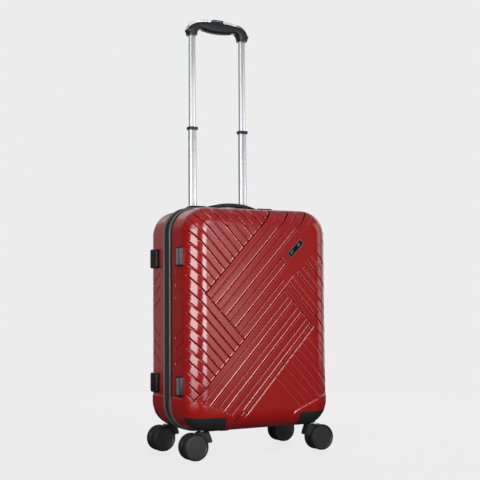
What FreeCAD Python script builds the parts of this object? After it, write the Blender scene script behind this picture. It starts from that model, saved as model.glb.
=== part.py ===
import FreeCAD, Part
import math
import os

os.makedirs("parts", exist_ok=True)
V = FreeCAD.Vector

# Cabin suitcase on four twin-wheel casters, millimetres.
# X runs across the case, -Y is the front, +Z is up; z = 0 is the floor and
# the origin is under the middle of the case, on the zip plane.

# ---- shells -------------------------------------------------------------
rim_half = 182.0        # half width of the case at the zip rim
rim_top = 551.0
rim_bottom = 56.5
rim_corner = 58.0       # corner radius seen from the front
rim_y = 18.0            # shell rims stop this far from the zip plane
front_face = -113.5
rear_face = 117.0
draft = 2.0             # each wall leans in by this much from rim to face
face_edge = 42.0        # rounding between the side walls and the faces
wall = 2.4
beyond = 40.0           # cutting tools reach this far past the case

# ---- zip band -----------------------------------------------------------
piping_radius = 2.5
piping_y = 15.5
piping_out = 1.5        # bead centre outside the rim line
tape_near = 1.2         # tapes start this far from the zip plane
tape_far = 13.0
tape_in = 0.5           # tape depth inside and outside the rim line
tape_out = 2.0
coil_near = 0.2         # half of the gap between the two coils
coil_far = 2.8
coil_out = 4.2
hinge_low = 125.0       # ends of the hinge fabric on the -X side
hinge_high = 483.0

# ---- lining, packing strap, zip sliders ------------------------------------
lining_gap = 10.0
lining_thickness = 1.0
lining_depth = 26.0     # the rear lining stands this far in front of the rear face
lining_margin = 8.0     # clear of the trolley's bezel all round
strap_half = 139.0
strap_low = 288.0
strap_high = 312.0
strap_thickness = 1.2
strap_rise = 2.4        # strap's front face in front of the lining's
slider_heights = (("upper", 400.0), ("lower", 366.0))
slider_x = (186.5, 187.9)
slider_half = (4.6, 7.0)        # half width and half height of the plate
slider_flange = 1.2             # rear flange that rides beside the rear coil
post_width = 1.0
post_gap = 2.6                  # posts stand this far each side of the middle
pull_x = (188.6, 189.8)
pull_axis_x = 189.2
pull_axis_rise = 2.5            # above the slider's middle
pull_pin_radius = 0.6
pull_eye_radius = 1.15
pull_half_width = 4.2
pull_neck_half = 2.3
pull_length = 26.0

# ---- casters ------------------------------------------------------------
stem_x = 140.0
stem_y = 84.5
trail = 21.0
wheel_radius = 28.5
wheel_near = 4.9        # wheel faces, measured from the caster's middle
wheel_far = 16.6
hub_radius = 24.5
axle_radius = 3.0
pin_radius = 4.0
running = 0.05          # radial clearance of running fits
blade_half = 4.3
neck_radius = 22.0
neck_half_width = 10.0
wheel_gap = 1.2         # fork stays this far off the wheels' rims
tyre_edge = 2.5
fork_top = 58.7
well_radius = 53.0      # round well that the caster turns in
well_top = 59.5
well_floor = 3.0
well_below = 30.0       # the wells' cutting tools start this high
boss_radius = 10.0
boss_room = 0.4
pin_head_radius = 7.0
pin_head = 1.5
pin_low = 50.0
pin_high = 64.0
plate_grow = 1.8        # corner plates stand this far proud of the shell
plate_inner = 93.0
plate_height = 91.0
plate_side = 70.0
plate_corner = 8.0

# ---- trolley ------------------------------------------------------------
tube_x = 68.5
tube_y = 103.5
fixed_size = (22.0, 17.4)
middle_size = (19.0, 14.4)
inner_size = (16.0, 11.4)
tube_wall = 1.2
fixed_low = 95.0
fixed_high = 519.0
tube_corner = 2.5
bracket_half = 88.0
bracket_y = (93.0, 116.0)
bracket_low = 76.0
bracket_overlap = 6.0   # the tubes sit this deep in the bracket
middle_low = 467.0
middle_high = 757.0
collar_high = 761.0
collar_grip = 3.0       # collar's hold on the end of the middle tube
collar_wall = 2.0
latch_drop = 10.0       # latch block below the inner tube, and its peg inside
latch_peg = 12.0
inner_low = 700.0
inner_high = 1000.0
grip_low = 985.0
grip_half_depth = 13.0
button_travel = 3.5
button_x = (-14.0, 16.0)
button_top = 1030.5
button_half_depth = 6.0
button_room = 0.4
release_low = 1008.5    # crossbar between the two release rods
release_high = 1011.5
release_half_depth = 3.0
rod_radius = 2.0
rod_start = 18.0        # rods end this far above the inner tubes' lower end
trim_half_depth = 6.9
bezel_half = 90.0
bezel_front = 86.0
bezel_back = 117.5
bezel_low = 500.0
bezel_high = 551.5
bezel_lip = 1.5         # flange that stands proud of the shell
bezel_lip_width = 6.0
finger_half = 54.0      # finger recess in front of the bezel's top
finger_low = 531.0
finger_web = 6.0

# ---- handles, feet, badge, lock -----------------------------------------
handle_half = 111.5     # half of a carry handle's overall length
mount_length = 45.0
handle_y = 42.0
side_handle_y = 46.0
side_handle_z = 290.0
strap_half_width = 14.0
mount_half_width = 17.5
mount_corner = 4.0
top_mount_high = 563.5
side_strap_half_width = 11.0
side_mount_half_width = 14.0
side_mount_face = 188.4
foot_face = -190.0
foot_width = 34.0
foot_height = 43.6
front_feet_y = -59.5
rear_feet_y = 63.0
feet_z = (158.0, 440.0)
foot_corner = 4.0
foot_edge = 2.0
badge_centre = (84.0, 460.0)
badge_length = 48.0
badge_width = 14.0
badge_proud = 2.4
badge_frame = 1.4
badge_plate_y = (-1.8, -0.8)
lock_low = 424.0
lock_high = 488.0
lock_y = (19.0, 47.0)
lock_face = 188.6
lock_inner = 174.5
lock_margin = 4.0       # the part inside the shell is smaller all round
dial_radius = 6.2
dial_width = 4.4
dial_x = 183.0
dial_y = 33.0
dial_heights = (460.0, 469.0, 478.0)
dial_room = 0.4
dial_gap = 0.3
spindle_radius = 1.5
lock_button_x = (184.2, 189.4)
lock_button_z = (433.0, 447.0)
lock_button_half = 5.0
lock_button_room = 0.4


def save(name, *solids):
    """Write one node; several solids become one compound."""
    flat = []
    for item in solids:
        flat.extend(item.Solids)
    shape = flat[0] if len(flat) == 1 else Part.makeCompound(flat)
    shape.exportStep("parts/" + name + ".step")
    volume = sum(solid.Volume for solid in flat)
    print(f"{name:26s} {len(flat)} solid(s) {volume / 1000:9.2f} cm3 valid {shape.isValid()}")


def box(x0, x1, y0, y1, z0, z1):
    return Part.makeBox(x1 - x0, y1 - y0, z1 - z0, V(x0, y0, z0))


def cylinder(radius, start, end):
    start, end = V(*start), V(*end)
    run = end - start
    return Part.makeCylinder(radius, run.Length, start, run)


def mirror_x(shape):
    return shape.mirror(V(0, 0, 0), V(1, 0, 0))


def rounded_loop(half, low, high, radius, y):
    """Rounded rectangle in the plane Y = y, as one closed wire."""
    left, right = -half, half
    k = radius * (1 - math.sqrt(0.5))
    points = {
        "a": V(left + radius, y, low), "b": V(right - radius, y, low),
        "c": V(right, y, low + radius), "d": V(right, y, high - radius),
        "e": V(right - radius, y, high), "f": V(left + radius, y, high),
        "g": V(left, y, high - radius), "h": V(left, y, low + radius),
    }
    corners = {
        "bc": V(right - k, y, low + k), "de": V(right - k, y, high - k),
        "fg": V(left + k, y, high - k), "ha": V(left + k, y, low + k),
    }
    edges = []
    for pair in ("ab", "bc", "cd", "de", "ef", "fg", "gh", "ha"):
        p, q = points[pair[0]], points[pair[1]]
        if pair in corners:
            edges.append(Part.Arc(p, corners[pair], q).toShape())
        else:
            edges.append(Part.LineSegment(p, q).toShape())
    return Part.Wire(edges)


def rim_loop(out, y):
    """The case's outline at the rim, moved outwards by out."""
    return rounded_loop(rim_half + out, rim_bottom - out, rim_top + out, rim_corner + out, y)


def filled_shell(face_y, out, past_rim=0.0):
    """Solid half of the case, its surface moved outwards by out."""
    side = 1 if face_y > 0 else -1
    start = side * (rim_y - past_rim)
    end = face_y + side * out
    depth = abs(face_y) - rim_y
    lean_start = draft * (-past_rim) / depth
    lean_end = draft * (depth + out) / depth
    loops = [rim_loop(out - lean_start, start), rim_loop(out - lean_end, end)]
    solid = Part.makeLoft(loops, True, True)
    edges = [e for e in solid.Edges if abs(e.BoundBox.YMin - end) < 0.01
             and abs(e.BoundBox.YMax - end) < 0.01]
    return solid.makeFillet(face_edge + out, edges)


def band(low_out, high_out, y0, y1):
    """Closed ring that follows the rim, between two offsets and two Y planes."""
    outer = Part.Face(rim_loop(high_out, y0)).extrude(V(0, y1 - y0, 0))
    inner = Part.Face(rim_loop(low_out, y0)).extrude(V(0, y1 - y0, 0))
    return outer.cut(inner)


def bead(y):
    path = rim_loop(piping_out, y)
    start = V(-rim_half + rim_corner, y, rim_bottom - piping_out)
    profile = Part.Wire([Part.makeCircle(piping_radius, start, V(1, 0, 0))])
    return path.makePipeShell([profile], True, False)


def outline(points, arcs, y0, y1):
    """Plate in the XZ plane; arcs maps a span's number to its middle point."""
    edges = []
    for i, p in enumerate(points):
        q = points[(i + 1) % len(points)]
        a, b = V(p[0], y0, p[1]), V(q[0], y0, q[1])
        if i in arcs:
            m = arcs[i]
            edges.append(Part.Arc(a, V(m[0], y0, m[1]), b).toShape())
        else:
            edges.append(Part.LineSegment(a, b).toShape())
    return Part.Face(Part.Wire(edges)).extrude(V(0, y1 - y0, 0))


def rounded(shape, radius, pick):
    edges = [e for e in shape.Edges if pick(e)]
    return shape.makeFillet(radius, edges)


def runs_along(axis):
    def test(edge):
        ends = [v.Point for v in edge.Vertexes]
        if len(ends) != 2:
            return False
        run = ends[1] - ends[0]
        return run.Length > 0 and abs(run[axis]) > 0.999 * run.Length
    return test


def soft_box(x0, x1, y0, y1, z0, z1, radius):
    """Box with its vertical edges rounded."""
    return rounded(box(x0, x1, y0, y1, z0, z1), radius, runs_along(2))


# ---- shells --------------------------------------------------------------
front_full = filled_shell(front_face, 0)
rear_full = filled_shell(rear_face, 0)
wells = {}
for side in (-1, 1):
    for end in (-1, 1):
        base = (side * stem_x, end * stem_y)
        well = cylinder(well_radius + 0.5, (*base, well_below), (*base, well_top + well_floor))
        boss_hole = cylinder(boss_radius + boss_room, (*base, well_below), (*base, pin_high + 2 * pin_head))
        wells[side, end] = well.fuse(boss_hole)
past = 3.0              # inner tools run this far past the rim
front_shell = front_full.cut(filled_shell(front_face, -wall, past))
rear_shell = rear_full.cut(filled_shell(rear_face, -wall, past))
for side in (-1, 1):
    front_shell = front_shell.cut(wells[side, -1])
    rear_shell = rear_shell.cut(wells[side, 1])
bezel_hole = box(-bezel_half, bezel_half, bezel_front, rear_face + beyond, bezel_low, rim_top + beyond)
rear_shell = rear_shell.cut(bezel_hole)
lock_body = (lock_y[0] + lock_margin, lock_y[1] - lock_margin,
             lock_low + lock_margin, lock_high - lock_margin)
rear_shell = rear_shell.cut(box(lock_inner - wall, rim_half + beyond, *lock_body))
save("front_shell", front_shell)
save("rear_shell", rear_shell)

# ---- linings -------------------------------------------------------------
inner_gap = lining_gap + lining_thickness
front_lining = filled_shell(front_face, -lining_gap).cut(filled_shell(front_face, -inner_gap, past))
rear_base = rear_face - lining_depth + lining_gap
rear_lining = filled_shell(rear_base, -lining_gap).cut(filled_shell(rear_base, -inner_gap, past))
bezel_space = box(-bezel_half - lining_margin, bezel_half + lining_margin,
                  bezel_front - bezel_lip_width, rear_face + beyond,
                  bezel_low - lining_margin, rim_top + beyond)
save("front_lining", front_lining)
save("rear_lining", rear_lining.cut(bezel_space))
strap_front = rear_face - lining_depth - strap_rise
save("packing_strap", box(-strap_half, strap_half, strap_front, strap_front + strap_thickness,
                          strap_low, strap_high))

# ---- zip band ------------------------------------------------------------
save("rear_piping", bead(piping_y))
save("front_piping", bead(-piping_y))
hinge_gap = 0.5         # tapes and coils end this far from the hinge fabric
hinge_space = box(-rim_half - beyond, -rim_half + beyond, -rim_y, rim_y,
                  hinge_low - hinge_gap, hinge_high + hinge_gap)
for name, sign in (("rear", 1), ("front", -1)):
    near, far = sorted((sign * tape_near, sign * tape_far))
    tape = band(-tape_in, tape_out, near, far).cut(hinge_space)
    near, far = sorted((sign * coil_near, sign * coil_far))
    coil = band(tape_out, coil_out, near, far).cut(hinge_space)
    save(name + "_zip_tape", tape)
    save(name + "_zip_coil", coil)
hinge_x = -rim_half - tape_out
save("hinge_fabric", box(hinge_x, -rim_half + tape_in, 0.4 - tape_far, tape_far, hinge_low, hinge_high))

# ---- zip sliders and pulls on the +X side ---------------------------------
for name, z in slider_heights:
    wide, tall = slider_half
    axis_z = z + pull_axis_rise
    plate = soft_box(*slider_x, -wide, wide, z - tall, z + tall, pull_pin_radius)
    flange = box(rim_half + tape_out + 0.4, slider_x[0], wide - slider_flange, wide, z - tall + 1, z + tall - 1)
    posts = [box(slider_x[1], pull_x[1], y, y + post_width, axis_z - 1.5, axis_z + 1.5)
             for y in (-post_gap - post_width, post_gap)]
    bar = cylinder(pull_pin_radius, (pull_axis_x, -post_gap, axis_z),
                   (pull_axis_x, post_gap, axis_z))
    save("zip_slider_" + name, plate.fuse([flange, bar] + posts))
    eye = cylinder(pull_eye_radius, (pull_axis_x, -pull_neck_half, axis_z),
                   (pull_axis_x, pull_neck_half, axis_z))
    tab = soft_box(*pull_x, -pull_half_width, pull_half_width, z - pull_length, z - 2, 0.5)
    neck = box(*pull_x, -pull_neck_half, pull_neck_half, z - 3, axis_z - 0.3)
    hole = cylinder(pull_pin_radius + running, (pull_axis_x, -wide, axis_z), (pull_axis_x, wide, axis_z))
    save("zip_pull_" + name, eye.fuse([tab, neck]).cut(hole))

# ---- combination lock ------------------------------------------------------
lock = soft_box(lock_inner, lock_face, *lock_y, lock_low, lock_high, 1.0).cut(rear_full)
lock = lock.fuse(box(lock_inner, dial_x, lock_body[0] + 0.2, lock_body[1] - 0.2,
                     lock_body[2] + 0.2, lock_body[3] - 0.2))
for i, z in enumerate(dial_heights):
    low, high = z - dial_width / 2, z + dial_width / 2
    ends = (dial_x, dial_y, low - dial_gap), (dial_x, dial_y, high + dial_gap)
    lock = lock.cut(cylinder(dial_radius + dial_room, *ends).cut(cylinder(spindle_radius, *ends)))
    ends = (dial_x, dial_y, low), (dial_x, dial_y, high)
    save(f"lock_dial_{i + 1}", cylinder(dial_radius, *ends).cut(cylinder(spindle_radius + running, *ends)))
reach = lock_button_half + lock_button_room
lock_button_space = box(182, 190, dial_y - reach, dial_y + reach,
                        lock_button_z[0] - lock_button_room, lock_button_z[1] + lock_button_room)
save("lock_housing", lock.cut(lock_button_space))
save("lock_button", soft_box(*lock_button_x, dial_y - lock_button_half, dial_y + lock_button_half,
                             *lock_button_z, 1.0))


# ---- trolley ----------------------------------------------------------------
def tube(size, low, high, hollow=True):
    """A left and right rectangular tube with rounded long edges."""
    both = []
    for side in (-1, 1):
        x = side * tube_x
        outer = soft_box(x - size[0] / 2, x + size[0] / 2, tube_y - size[1] / 2,
                         tube_y + size[1] / 2, low, high, tube_corner)
        if hollow:
            w, d = size[0] / 2 - tube_wall, size[1] / 2 - tube_wall
            outer = outer.cut(soft_box(x - w, x + w, tube_y - d, tube_y + d, low, high,
                                       tube_corner - 0.9))
        both.append(outer)
    return both


def grown(size, by):
    return (size[0] + 2 * by, size[1] + 2 * by)


fixed_bar = tube(fixed_size, fixed_low, fixed_high, False)
save("outer_tubes", *tube(fixed_size, fixed_low, fixed_high))
save("middle_tubes", *tube(middle_size, middle_low, middle_high))
save("inner_tubes", *tube(inner_size, inner_low, inner_high))
collars = []
for cap in tube(grown(middle_size, collar_wall), middle_high - collar_grip, collar_high, False):
    for hole in tube(middle_size, middle_high - collar_grip, middle_high, False):
        cap = cap.cut(hole)
    for hole in tube(grown(inner_size, 0.3), middle_high, collar_high, False):
        cap = cap.cut(hole)
    collars.append(cap)
save("middle_collars", *collars)
latches = []
for foot, peg in zip(tube(grown(inner_size, 0.1), inner_low - latch_drop, inner_low, False),
                     tube(grown(inner_size, -tube_wall), inner_low, inner_low + latch_peg, False)):
    latches.append(foot.fuse(peg))
save("tube_latches", *latches)

bracket = box(-bracket_half, bracket_half, *bracket_y, bracket_low, fixed_low + bracket_overlap)
bracket = bracket.common(filled_shell(rear_face, -wall))
save("tube_bracket", bracket.cut(fixed_bar[0]).cut(fixed_bar[1]))

lip = filled_shell(rear_face, bezel_lip).cut(rear_full)
lip = lip.common(box(-bezel_half - bezel_lip_width, bezel_half + bezel_lip_width,
                     bezel_front - bezel_lip_width + 1, rear_face + beyond,
                     bezel_low - bezel_lip_width, rim_top + beyond))
bezel = soft_box(-bezel_half, bezel_half, bezel_front, bezel_back, bezel_low, bezel_high, 3.0).fuse(lip)
bezel = bezel.cut(box(-finger_half, finger_half, bezel_front + finger_web, rear_face + beyond,
                      finger_low, rim_top + beyond))
for hole in fixed_bar:
    bezel = bezel.cut(hole)
for hole in tube(grown(middle_size, 0.4), fixed_high, bezel_high, False):
    bezel = bezel.cut(hole)
save("trolley_bezel", bezel)

# grip: an arch over both tubes, palm side bulging downwards
arch = [(58.5, 985), (80.5, 985), (82.5, 997), (46, 1024), (-46, 1024), (-82.5, 997),
        (-80.5, 985), (-58.5, 985), (-44, 1002), (44, 1002)]
arch_mid = {2: (74, 1013), 3: (0, 1026.5), 4: (-74, 1013),
            7: (-54, 998.5), 8: (0, 997), 9: (54, 998.5)}
grip = outline(arch, arch_mid, tube_y - grip_half_depth, tube_y + grip_half_depth)
channel = box(-tube_x - release_half_depth, tube_x + release_half_depth,
              tube_y - release_half_depth - 1, tube_y + release_half_depth + 1,
              release_low - button_travel - 0.5, release_high + 0.5)
slot = soft_box(button_x[0] - button_room, button_x[1] + button_room,
                tube_y - button_half_depth - button_room, tube_y + button_half_depth + button_room,
                release_high - button_travel - 0.5, button_top + beyond, 3)
for hole in tube(inner_size, grip_low - 5, inner_high, False):
    grip = grip.cut(hole)
for side in (-1, 1):
    x = side * tube_x
    grip = grip.cut(cylinder(rod_radius + 0.6, (x, tube_y, inner_high - 1), (x, tube_y, release_low)))
grip = grip.cut(channel).cut(slot)
trim_arch = [(83.3, 997), (46.3, 1024.8), (-46.3, 1024.8), (-83.3, 997), (-82.5, 997),
             (-46, 1024), (46, 1024), (82.5, 997)]
trim_mid = {0: (74.6, 1013.6), 1: (0, 1027.3), 2: (-74.6, 1013.6),
            4: (-74, 1013), 5: (0, 1026.5), 6: (74, 1013)}
trim = outline(trim_arch, trim_mid, tube_y - trim_half_depth, tube_y + trim_half_depth).cut(grip)
save("grip", grip)
crumb = 50.0            # cutting leaves slivers below this volume
save("grip_trim", *[solid for solid in trim.cut(slot).Solids if solid.Volume > crumb])
button = soft_box(*button_x, tube_y - button_half_depth, tube_y + button_half_depth,
                  release_high, button_top, 2.8)
save("grip_button", rounded(button, 1.5, lambda e: e.BoundBox.ZMin > button_top - 0.5))
rods = box(-tube_x - rod_radius, tube_x + rod_radius, tube_y - release_half_depth,
           tube_y + release_half_depth, release_low, release_high)
for side in (-1, 1):
    x = side * tube_x
    rods = rods.fuse(cylinder(rod_radius, (x, tube_y, inner_low + rod_start), (x, tube_y, release_low)))
save("release_rods", rods)

# ---- carry handles ------------------------------------------------------------
inner_end = handle_half - mount_length
top_outline = [(-92, 556), (-70, 556), (70, 556), (92, 556), (92, 560), (70, 560.5), (-70, 560.5), (-92, 560)]
top_arcs = {1: (0, 568), 5: (0, 572.5)}
strap = outline(top_outline, top_arcs, handle_y - strap_half_width, handle_y + strap_half_width)
mounts = []
for side in (-1, 1):
    x0, x1 = sorted((side * inner_end, side * handle_half))
    block = soft_box(x0, x1, handle_y - mount_half_width, handle_y + mount_half_width,
                     rim_top - 6, top_mount_high, mount_corner)
    mounts.append(block.cut(rear_full).cut(strap))
save("top_handle_strap", strap)
save("top_handle_mounts", *mounts)

# points are (x, height above the middle of the handle)
side_outline = [(183.4, -92), (183.4, -70), (183.4, 70), (183.4, 92),
                (186, 92), (186.2, 70), (186.2, -70), (186, -92)]
side_arcs = {1: (187.4, 0), 5: (190.2, 0)}
side_strap = outline(side_outline, side_arcs, side_handle_y - side_strap_half_width,
                     side_handle_y + side_strap_half_width)
side_strap = side_strap.translated(V(0, 0, side_handle_z))
mounts = []
for side in (-1, 1):
    z0, z1 = sorted((side_handle_z + side * inner_end, side_handle_z + side * handle_half))
    block = box(rim_half - 4, side_mount_face, side_handle_y - side_mount_half_width,
                side_handle_y + side_mount_half_width, z0, z1)
    mounts.append(rounded(block, mount_corner, runs_along(0)).cut(rear_full).cut(side_strap))
save("side_handle_strap", side_strap)
save("side_handle_mounts", *mounts)

# ---- side feet on the -X side ---------------------------------------------------
for name, y, full in (("front_feet", front_feet_y, front_full), ("rear_feet", rear_feet_y, rear_full)):
    feet = []
    for z in feet_z:
        foot = box(foot_face, -rim_half + 7, y - foot_width / 2, y + foot_width / 2,
                   z - foot_height / 2, z + foot_height / 2)
        foot = rounded(foot, foot_corner, runs_along(0))
        foot = rounded(foot, foot_edge, lambda e: e.BoundBox.XMax < foot_face + 0.01)
        feet.append(foot.cut(full))
    save(name, *feet)

# ---- badge ------------------------------------------------------------------------
def on_face(shape):
    """Turn an upright plate at the origin onto the front face, along the ribs."""
    shape = shape.copy()
    shape.rotate(V(0, 0, 0), V(0, 1, 0), -45)
    shape.translate(V(badge_centre[0], front_face, badge_centre[1]))
    return shape


half, wide = badge_length / 2, badge_width / 2
in_half, in_wide = half - badge_frame, wide - badge_frame
badge_bezel = rounded(box(-half, half, -badge_proud, 0, -wide, wide), 2.0, runs_along(1))
pocket = rounded(box(-in_half, in_half, -badge_proud, badge_plate_y[1], -in_wide, in_wide), 1.2, runs_along(1))
badge_plate = rounded(box(-in_half, in_half, *badge_plate_y, -in_wide, in_wide), 1.2, runs_along(1))
save("badge_bezel", on_face(badge_bezel.cut(pocket)))
save("badge_plate", on_face(badge_plate))

# ---- wheel housings, casters ---------------------------------------------------------
for name, end, full, face in (("front", -1, front_full, front_face), ("rear", 1, rear_full, rear_face)):
    grown_shell = filled_shell(face, plate_grow)
    skin = grown_shell.cut(full)
    housings, pins = [], []
    for side in (-1, 1):
        x, y = side * stem_x, end * stem_y
        xs = sorted((side * plate_inner, side * (rim_half + beyond)))
        ys = sorted((end * plate_side, end * (rear_face + beyond)))
        block = rounded(box(*xs, *ys, well_below, plate_height), plate_corner,
                        lambda e: runs_along(1)(e) and abs(abs(e.BoundBox.XMin) - plate_inner) < 0.1
                        and e.BoundBox.ZMin > plate_height - 1)
        plate = skin.common(block)
        below = cylinder(well_radius, (x, y, well_below), (x, y, well_top))
        floor = cylinder(well_radius, (x, y, well_top), (x, y, well_top + well_floor))
        floor = floor.common(grown_shell)
        boss = cylinder(boss_radius, (x, y, well_top + well_floor), (x, y, pin_high))
        pin = cylinder(pin_radius, (x, y, pin_low), (x, y, pin_high))
        pin = pin.fuse(cylinder(pin_head_radius, (x, y, pin_high), (x, y, pin_high + pin_head)))
        housings.append(plate.cut(below).fuse([floor, boss]).cut(pin))
        pins.append(pin)
    save(name + "_wheel_housings", *housings)
    save(name + "_kingpins", *pins)


def caster(x, y, heading):
    """Fork, axle, hubs and tyres; heading is the side that the wheels trail to."""
    def place(shape):
        if heading < 0:
            shape = mirror_x(shape)
        return shape.translated(V(x, y, 0))

    neck = outline([(-13, fork_top), (-21, 38), (-19, 36), (-6, 36), (13, 52), (13, fork_top)],
                   {}, -neck_half_width, neck_half_width)
    neck = neck.common(cylinder(neck_radius, (0, 0, well_below), (0, 0, well_top)))
    blade = outline([(-12, 56), (-19, 37), (14, 21), (26, 22), (29, 32), (13, 56)],
                    {}, -blade_half, blade_half)
    fork = neck
    for sign in (-1, 1):
        a, b = sorted((sign * blade_half, sign * neck_radius))
        fork = fork.cut(cylinder(wheel_radius + wheel_gap, (trail, a, wheel_radius), (trail, b, wheel_radius)))
    fork = fork.fuse(blade).cut(cylinder(pin_radius + running, (0, 0, pin_low - 1), (0, 0, well_top)))
    fork = fork.cut(cylinder(axle_radius + running, (trail, -neck_radius, wheel_radius),
                             (trail, neck_radius, wheel_radius)))
    reach = wheel_far - 1.5
    axle = cylinder(axle_radius, (trail, -reach, wheel_radius), (trail, reach, wheel_radius))
    hubs, tyres = [], []
    for sign in (-1, 1):
        a, b = sorted((sign * wheel_near, sign * wheel_far))
        hub = cylinder(hub_radius, (trail, a, wheel_radius), (trail, b, wheel_radius)).cut(axle)
        tyre = cylinder(wheel_radius, (trail, a, wheel_radius), (trail, b, wheel_radius))
        tyre = tyre.makeFillet(tyre_edge, [e for e in tyre.Edges if len(e.Vertexes) == 1])
        tyre = tyre.cut(cylinder(hub_radius, (trail, a, wheel_radius), (trail, b, wheel_radius)))
        hubs.append(place(hub))
        tyres.append(place(tyre))
    return place(fork), place(axle), hubs, tyres


for fore, y in (("front", -stem_y), ("rear", stem_y)):
    for hand, side in (("left", -1), ("right", 1)):
        fork, axle, hubs, tyres = caster(side * stem_x, y, side)
        name = fore + "_" + hand
        save(name + "_fork", fork)
        save(name + "_axle", axle)
        save(name + "_hubs", *hubs)
        save(name + "_tyres", *tyres)
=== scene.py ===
import math
import bmesh
import bpy
import numpy as np
from mathutils import Matrix, Vector


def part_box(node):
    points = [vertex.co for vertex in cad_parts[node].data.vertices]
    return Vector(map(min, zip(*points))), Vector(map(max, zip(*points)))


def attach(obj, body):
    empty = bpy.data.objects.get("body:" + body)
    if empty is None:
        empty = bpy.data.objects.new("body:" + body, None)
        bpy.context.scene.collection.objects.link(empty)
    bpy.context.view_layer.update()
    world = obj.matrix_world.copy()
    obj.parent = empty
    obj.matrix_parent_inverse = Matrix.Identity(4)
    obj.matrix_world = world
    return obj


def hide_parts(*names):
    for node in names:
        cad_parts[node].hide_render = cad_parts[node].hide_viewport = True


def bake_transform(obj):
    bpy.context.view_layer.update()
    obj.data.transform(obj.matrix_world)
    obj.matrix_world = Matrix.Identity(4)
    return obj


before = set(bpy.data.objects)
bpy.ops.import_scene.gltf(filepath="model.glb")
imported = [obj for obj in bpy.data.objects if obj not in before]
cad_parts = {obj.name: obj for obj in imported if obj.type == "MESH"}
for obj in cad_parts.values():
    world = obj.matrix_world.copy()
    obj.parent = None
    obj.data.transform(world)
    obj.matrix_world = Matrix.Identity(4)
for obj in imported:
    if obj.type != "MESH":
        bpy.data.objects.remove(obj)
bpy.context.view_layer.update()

# Cabin case on four twin casters. X runs across the case, -Y is its front, Z is up.
# Meshes are drawn in millimetres, and piece() turns them into metres.
mm = 0.001


def cad(node):
    low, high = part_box(node)
    return Vector(low) / mm, Vector(high) / mm


# camera, floor and light

view = dict(place=(-1.1163, -2.0402, 0.3397), yaw=0.502, pitch=0.062, roll=-0.007, focal=74.84)


def makeCamera(v):
    forward = Vector((math.sin(v["yaw"]) * math.cos(v["pitch"]),
                      math.cos(v["yaw"]) * math.cos(v["pitch"]), math.sin(v["pitch"])))
    level = Vector((math.cos(v["yaw"]), -math.sin(v["yaw"]), 0))
    above = level.cross(forward)
    across = level * math.cos(v["roll"]) + above * math.sin(v["roll"])
    top = above * math.cos(v["roll"]) - level * math.sin(v["roll"])
    camera = bpy.data.objects.new("camera", bpy.data.cameras.new("camera"))
    camera.data.lens = v["focal"]
    camera.data.sensor_width = 36
    turn = Matrix((across, top, -forward)).transposed().to_4x4()
    camera.matrix_world = Matrix.Translation(v["place"]) @ turn
    bpy.context.scene.collection.objects.link(camera)
    bpy.context.scene.camera = camera


def shade(red, green, blue):
    # screen colour, 0 to 255, to the linear values that shaders take
    return tuple(((c / 255 + 0.055) / 1.055) ** 2.4 if c > 10 else c / 255 / 12.92
                 for c in (red, green, blue)) + (1.0,)


def dimmed(colour, share):
    return tuple(c * share for c in colour[:3]) + (1,)


class Wire:
    # one shader value; sums written with it add Math nodes
    def __init__(self, tree, socket):
        self.tree, self.socket = tree, socket

    def maths(self, operation, *values):
        return self.tree.node("ShaderNodeMath", {"operation": operation}, dict(enumerate(values)))

    def __add__(self, other): return self.maths("ADD", self, other)
    def __radd__(self, other): return self.maths("ADD", other, self)
    def __sub__(self, other): return self.maths("SUBTRACT", self, other)
    def __rsub__(self, other): return self.maths("SUBTRACT", other, self)
    def __mul__(self, other): return self.maths("MULTIPLY", self, other)
    def __rmul__(self, other): return self.maths("MULTIPLY", other, self)
    def __truediv__(self, other): return self.maths("DIVIDE", self, other)
    def sine(self): return self.maths("SINE", self)
    def root(self): return self.maths("SQRT", self)
    def positive(self): return self.maths("MAXIMUM", self, 0)


class Tree:
    # the nodes of a material or of the world
    def __init__(self, owner):
        owner.use_nodes = True
        self.nodes, self.links = owner.node_tree.nodes, owner.node_tree.links

    def join(self, value, socket):
        if isinstance(value, Wire):
            self.links.new(value.socket, socket)
        else:
            socket.default_value = value

    def node(self, kind, settings=None, inputs=None, out=0):
        made = self.nodes.new(kind)
        for key, value in (settings or {}).items():
            if key == "stops":
                while len(made.color_ramp.elements) < len(value):
                    made.color_ramp.elements.new(0.5)
                for stop, (place, colour) in zip(made.color_ramp.elements, value):
                    stop.position, stop.color = place, colour
            else:
                setattr(made, key, value)
        for key, value in (inputs or {}).items():
            self.join(value, made.inputs[key])
        return Wire(self, made.outputs[out])

    def place(self):
        return self.node("ShaderNodeTexCoord", out="Object")

    def noise(self, where, scale, detail=2.0, roughness=0.5):
        return self.node("ShaderNodeTexNoise", {}, {"Vector": where, "Scale": scale, "Detail": detail,
                                                    "Roughness": roughness})

    def stretched(self, where, scale):
        return self.node("ShaderNodeVectorMath", {"operation": "MULTIPLY"}, {0: where, 1: scale})

    def ramp(self, value, stops):
        return self.node("ShaderNodeValToRGB", {"stops": stops}, {"Fac": value})

    def spread(self, value, low, high):
        # 0 to 1 becomes low to high
        return value * (high - low) + low

    def mixed(self, share, first, second):
        return self.node("ShaderNodeMix", {"data_type": "RGBA"}, {0: share, 6: first, 7: second}, out=2)

    def axes(self, where):
        first = self.node("ShaderNodeSeparateXYZ", {}, {0: where})
        return [Wire(self, output) for output in first.socket.node.outputs]


class Finish(Tree):
    # one material round its Principled shader; uniform values are set on the shader's own sockets
    def __init__(self, name, **fixed):
        self.material = bpy.data.materials.new(name)
        super().__init__(self.material)
        self.shader = self.nodes["Principled BSDF"]
        self.set(**fixed)

    def set(self, **values):
        for label, value in values.items():
            self.join(value, self.shader.inputs[label.replace("_", " ")])

    def bump(self, height, distance):
        inputs = {"Height": height, "Distance": distance, "Strength": 1.0}
        self.set(Normal=self.node("ShaderNodeBump", {}, inputs))


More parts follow.
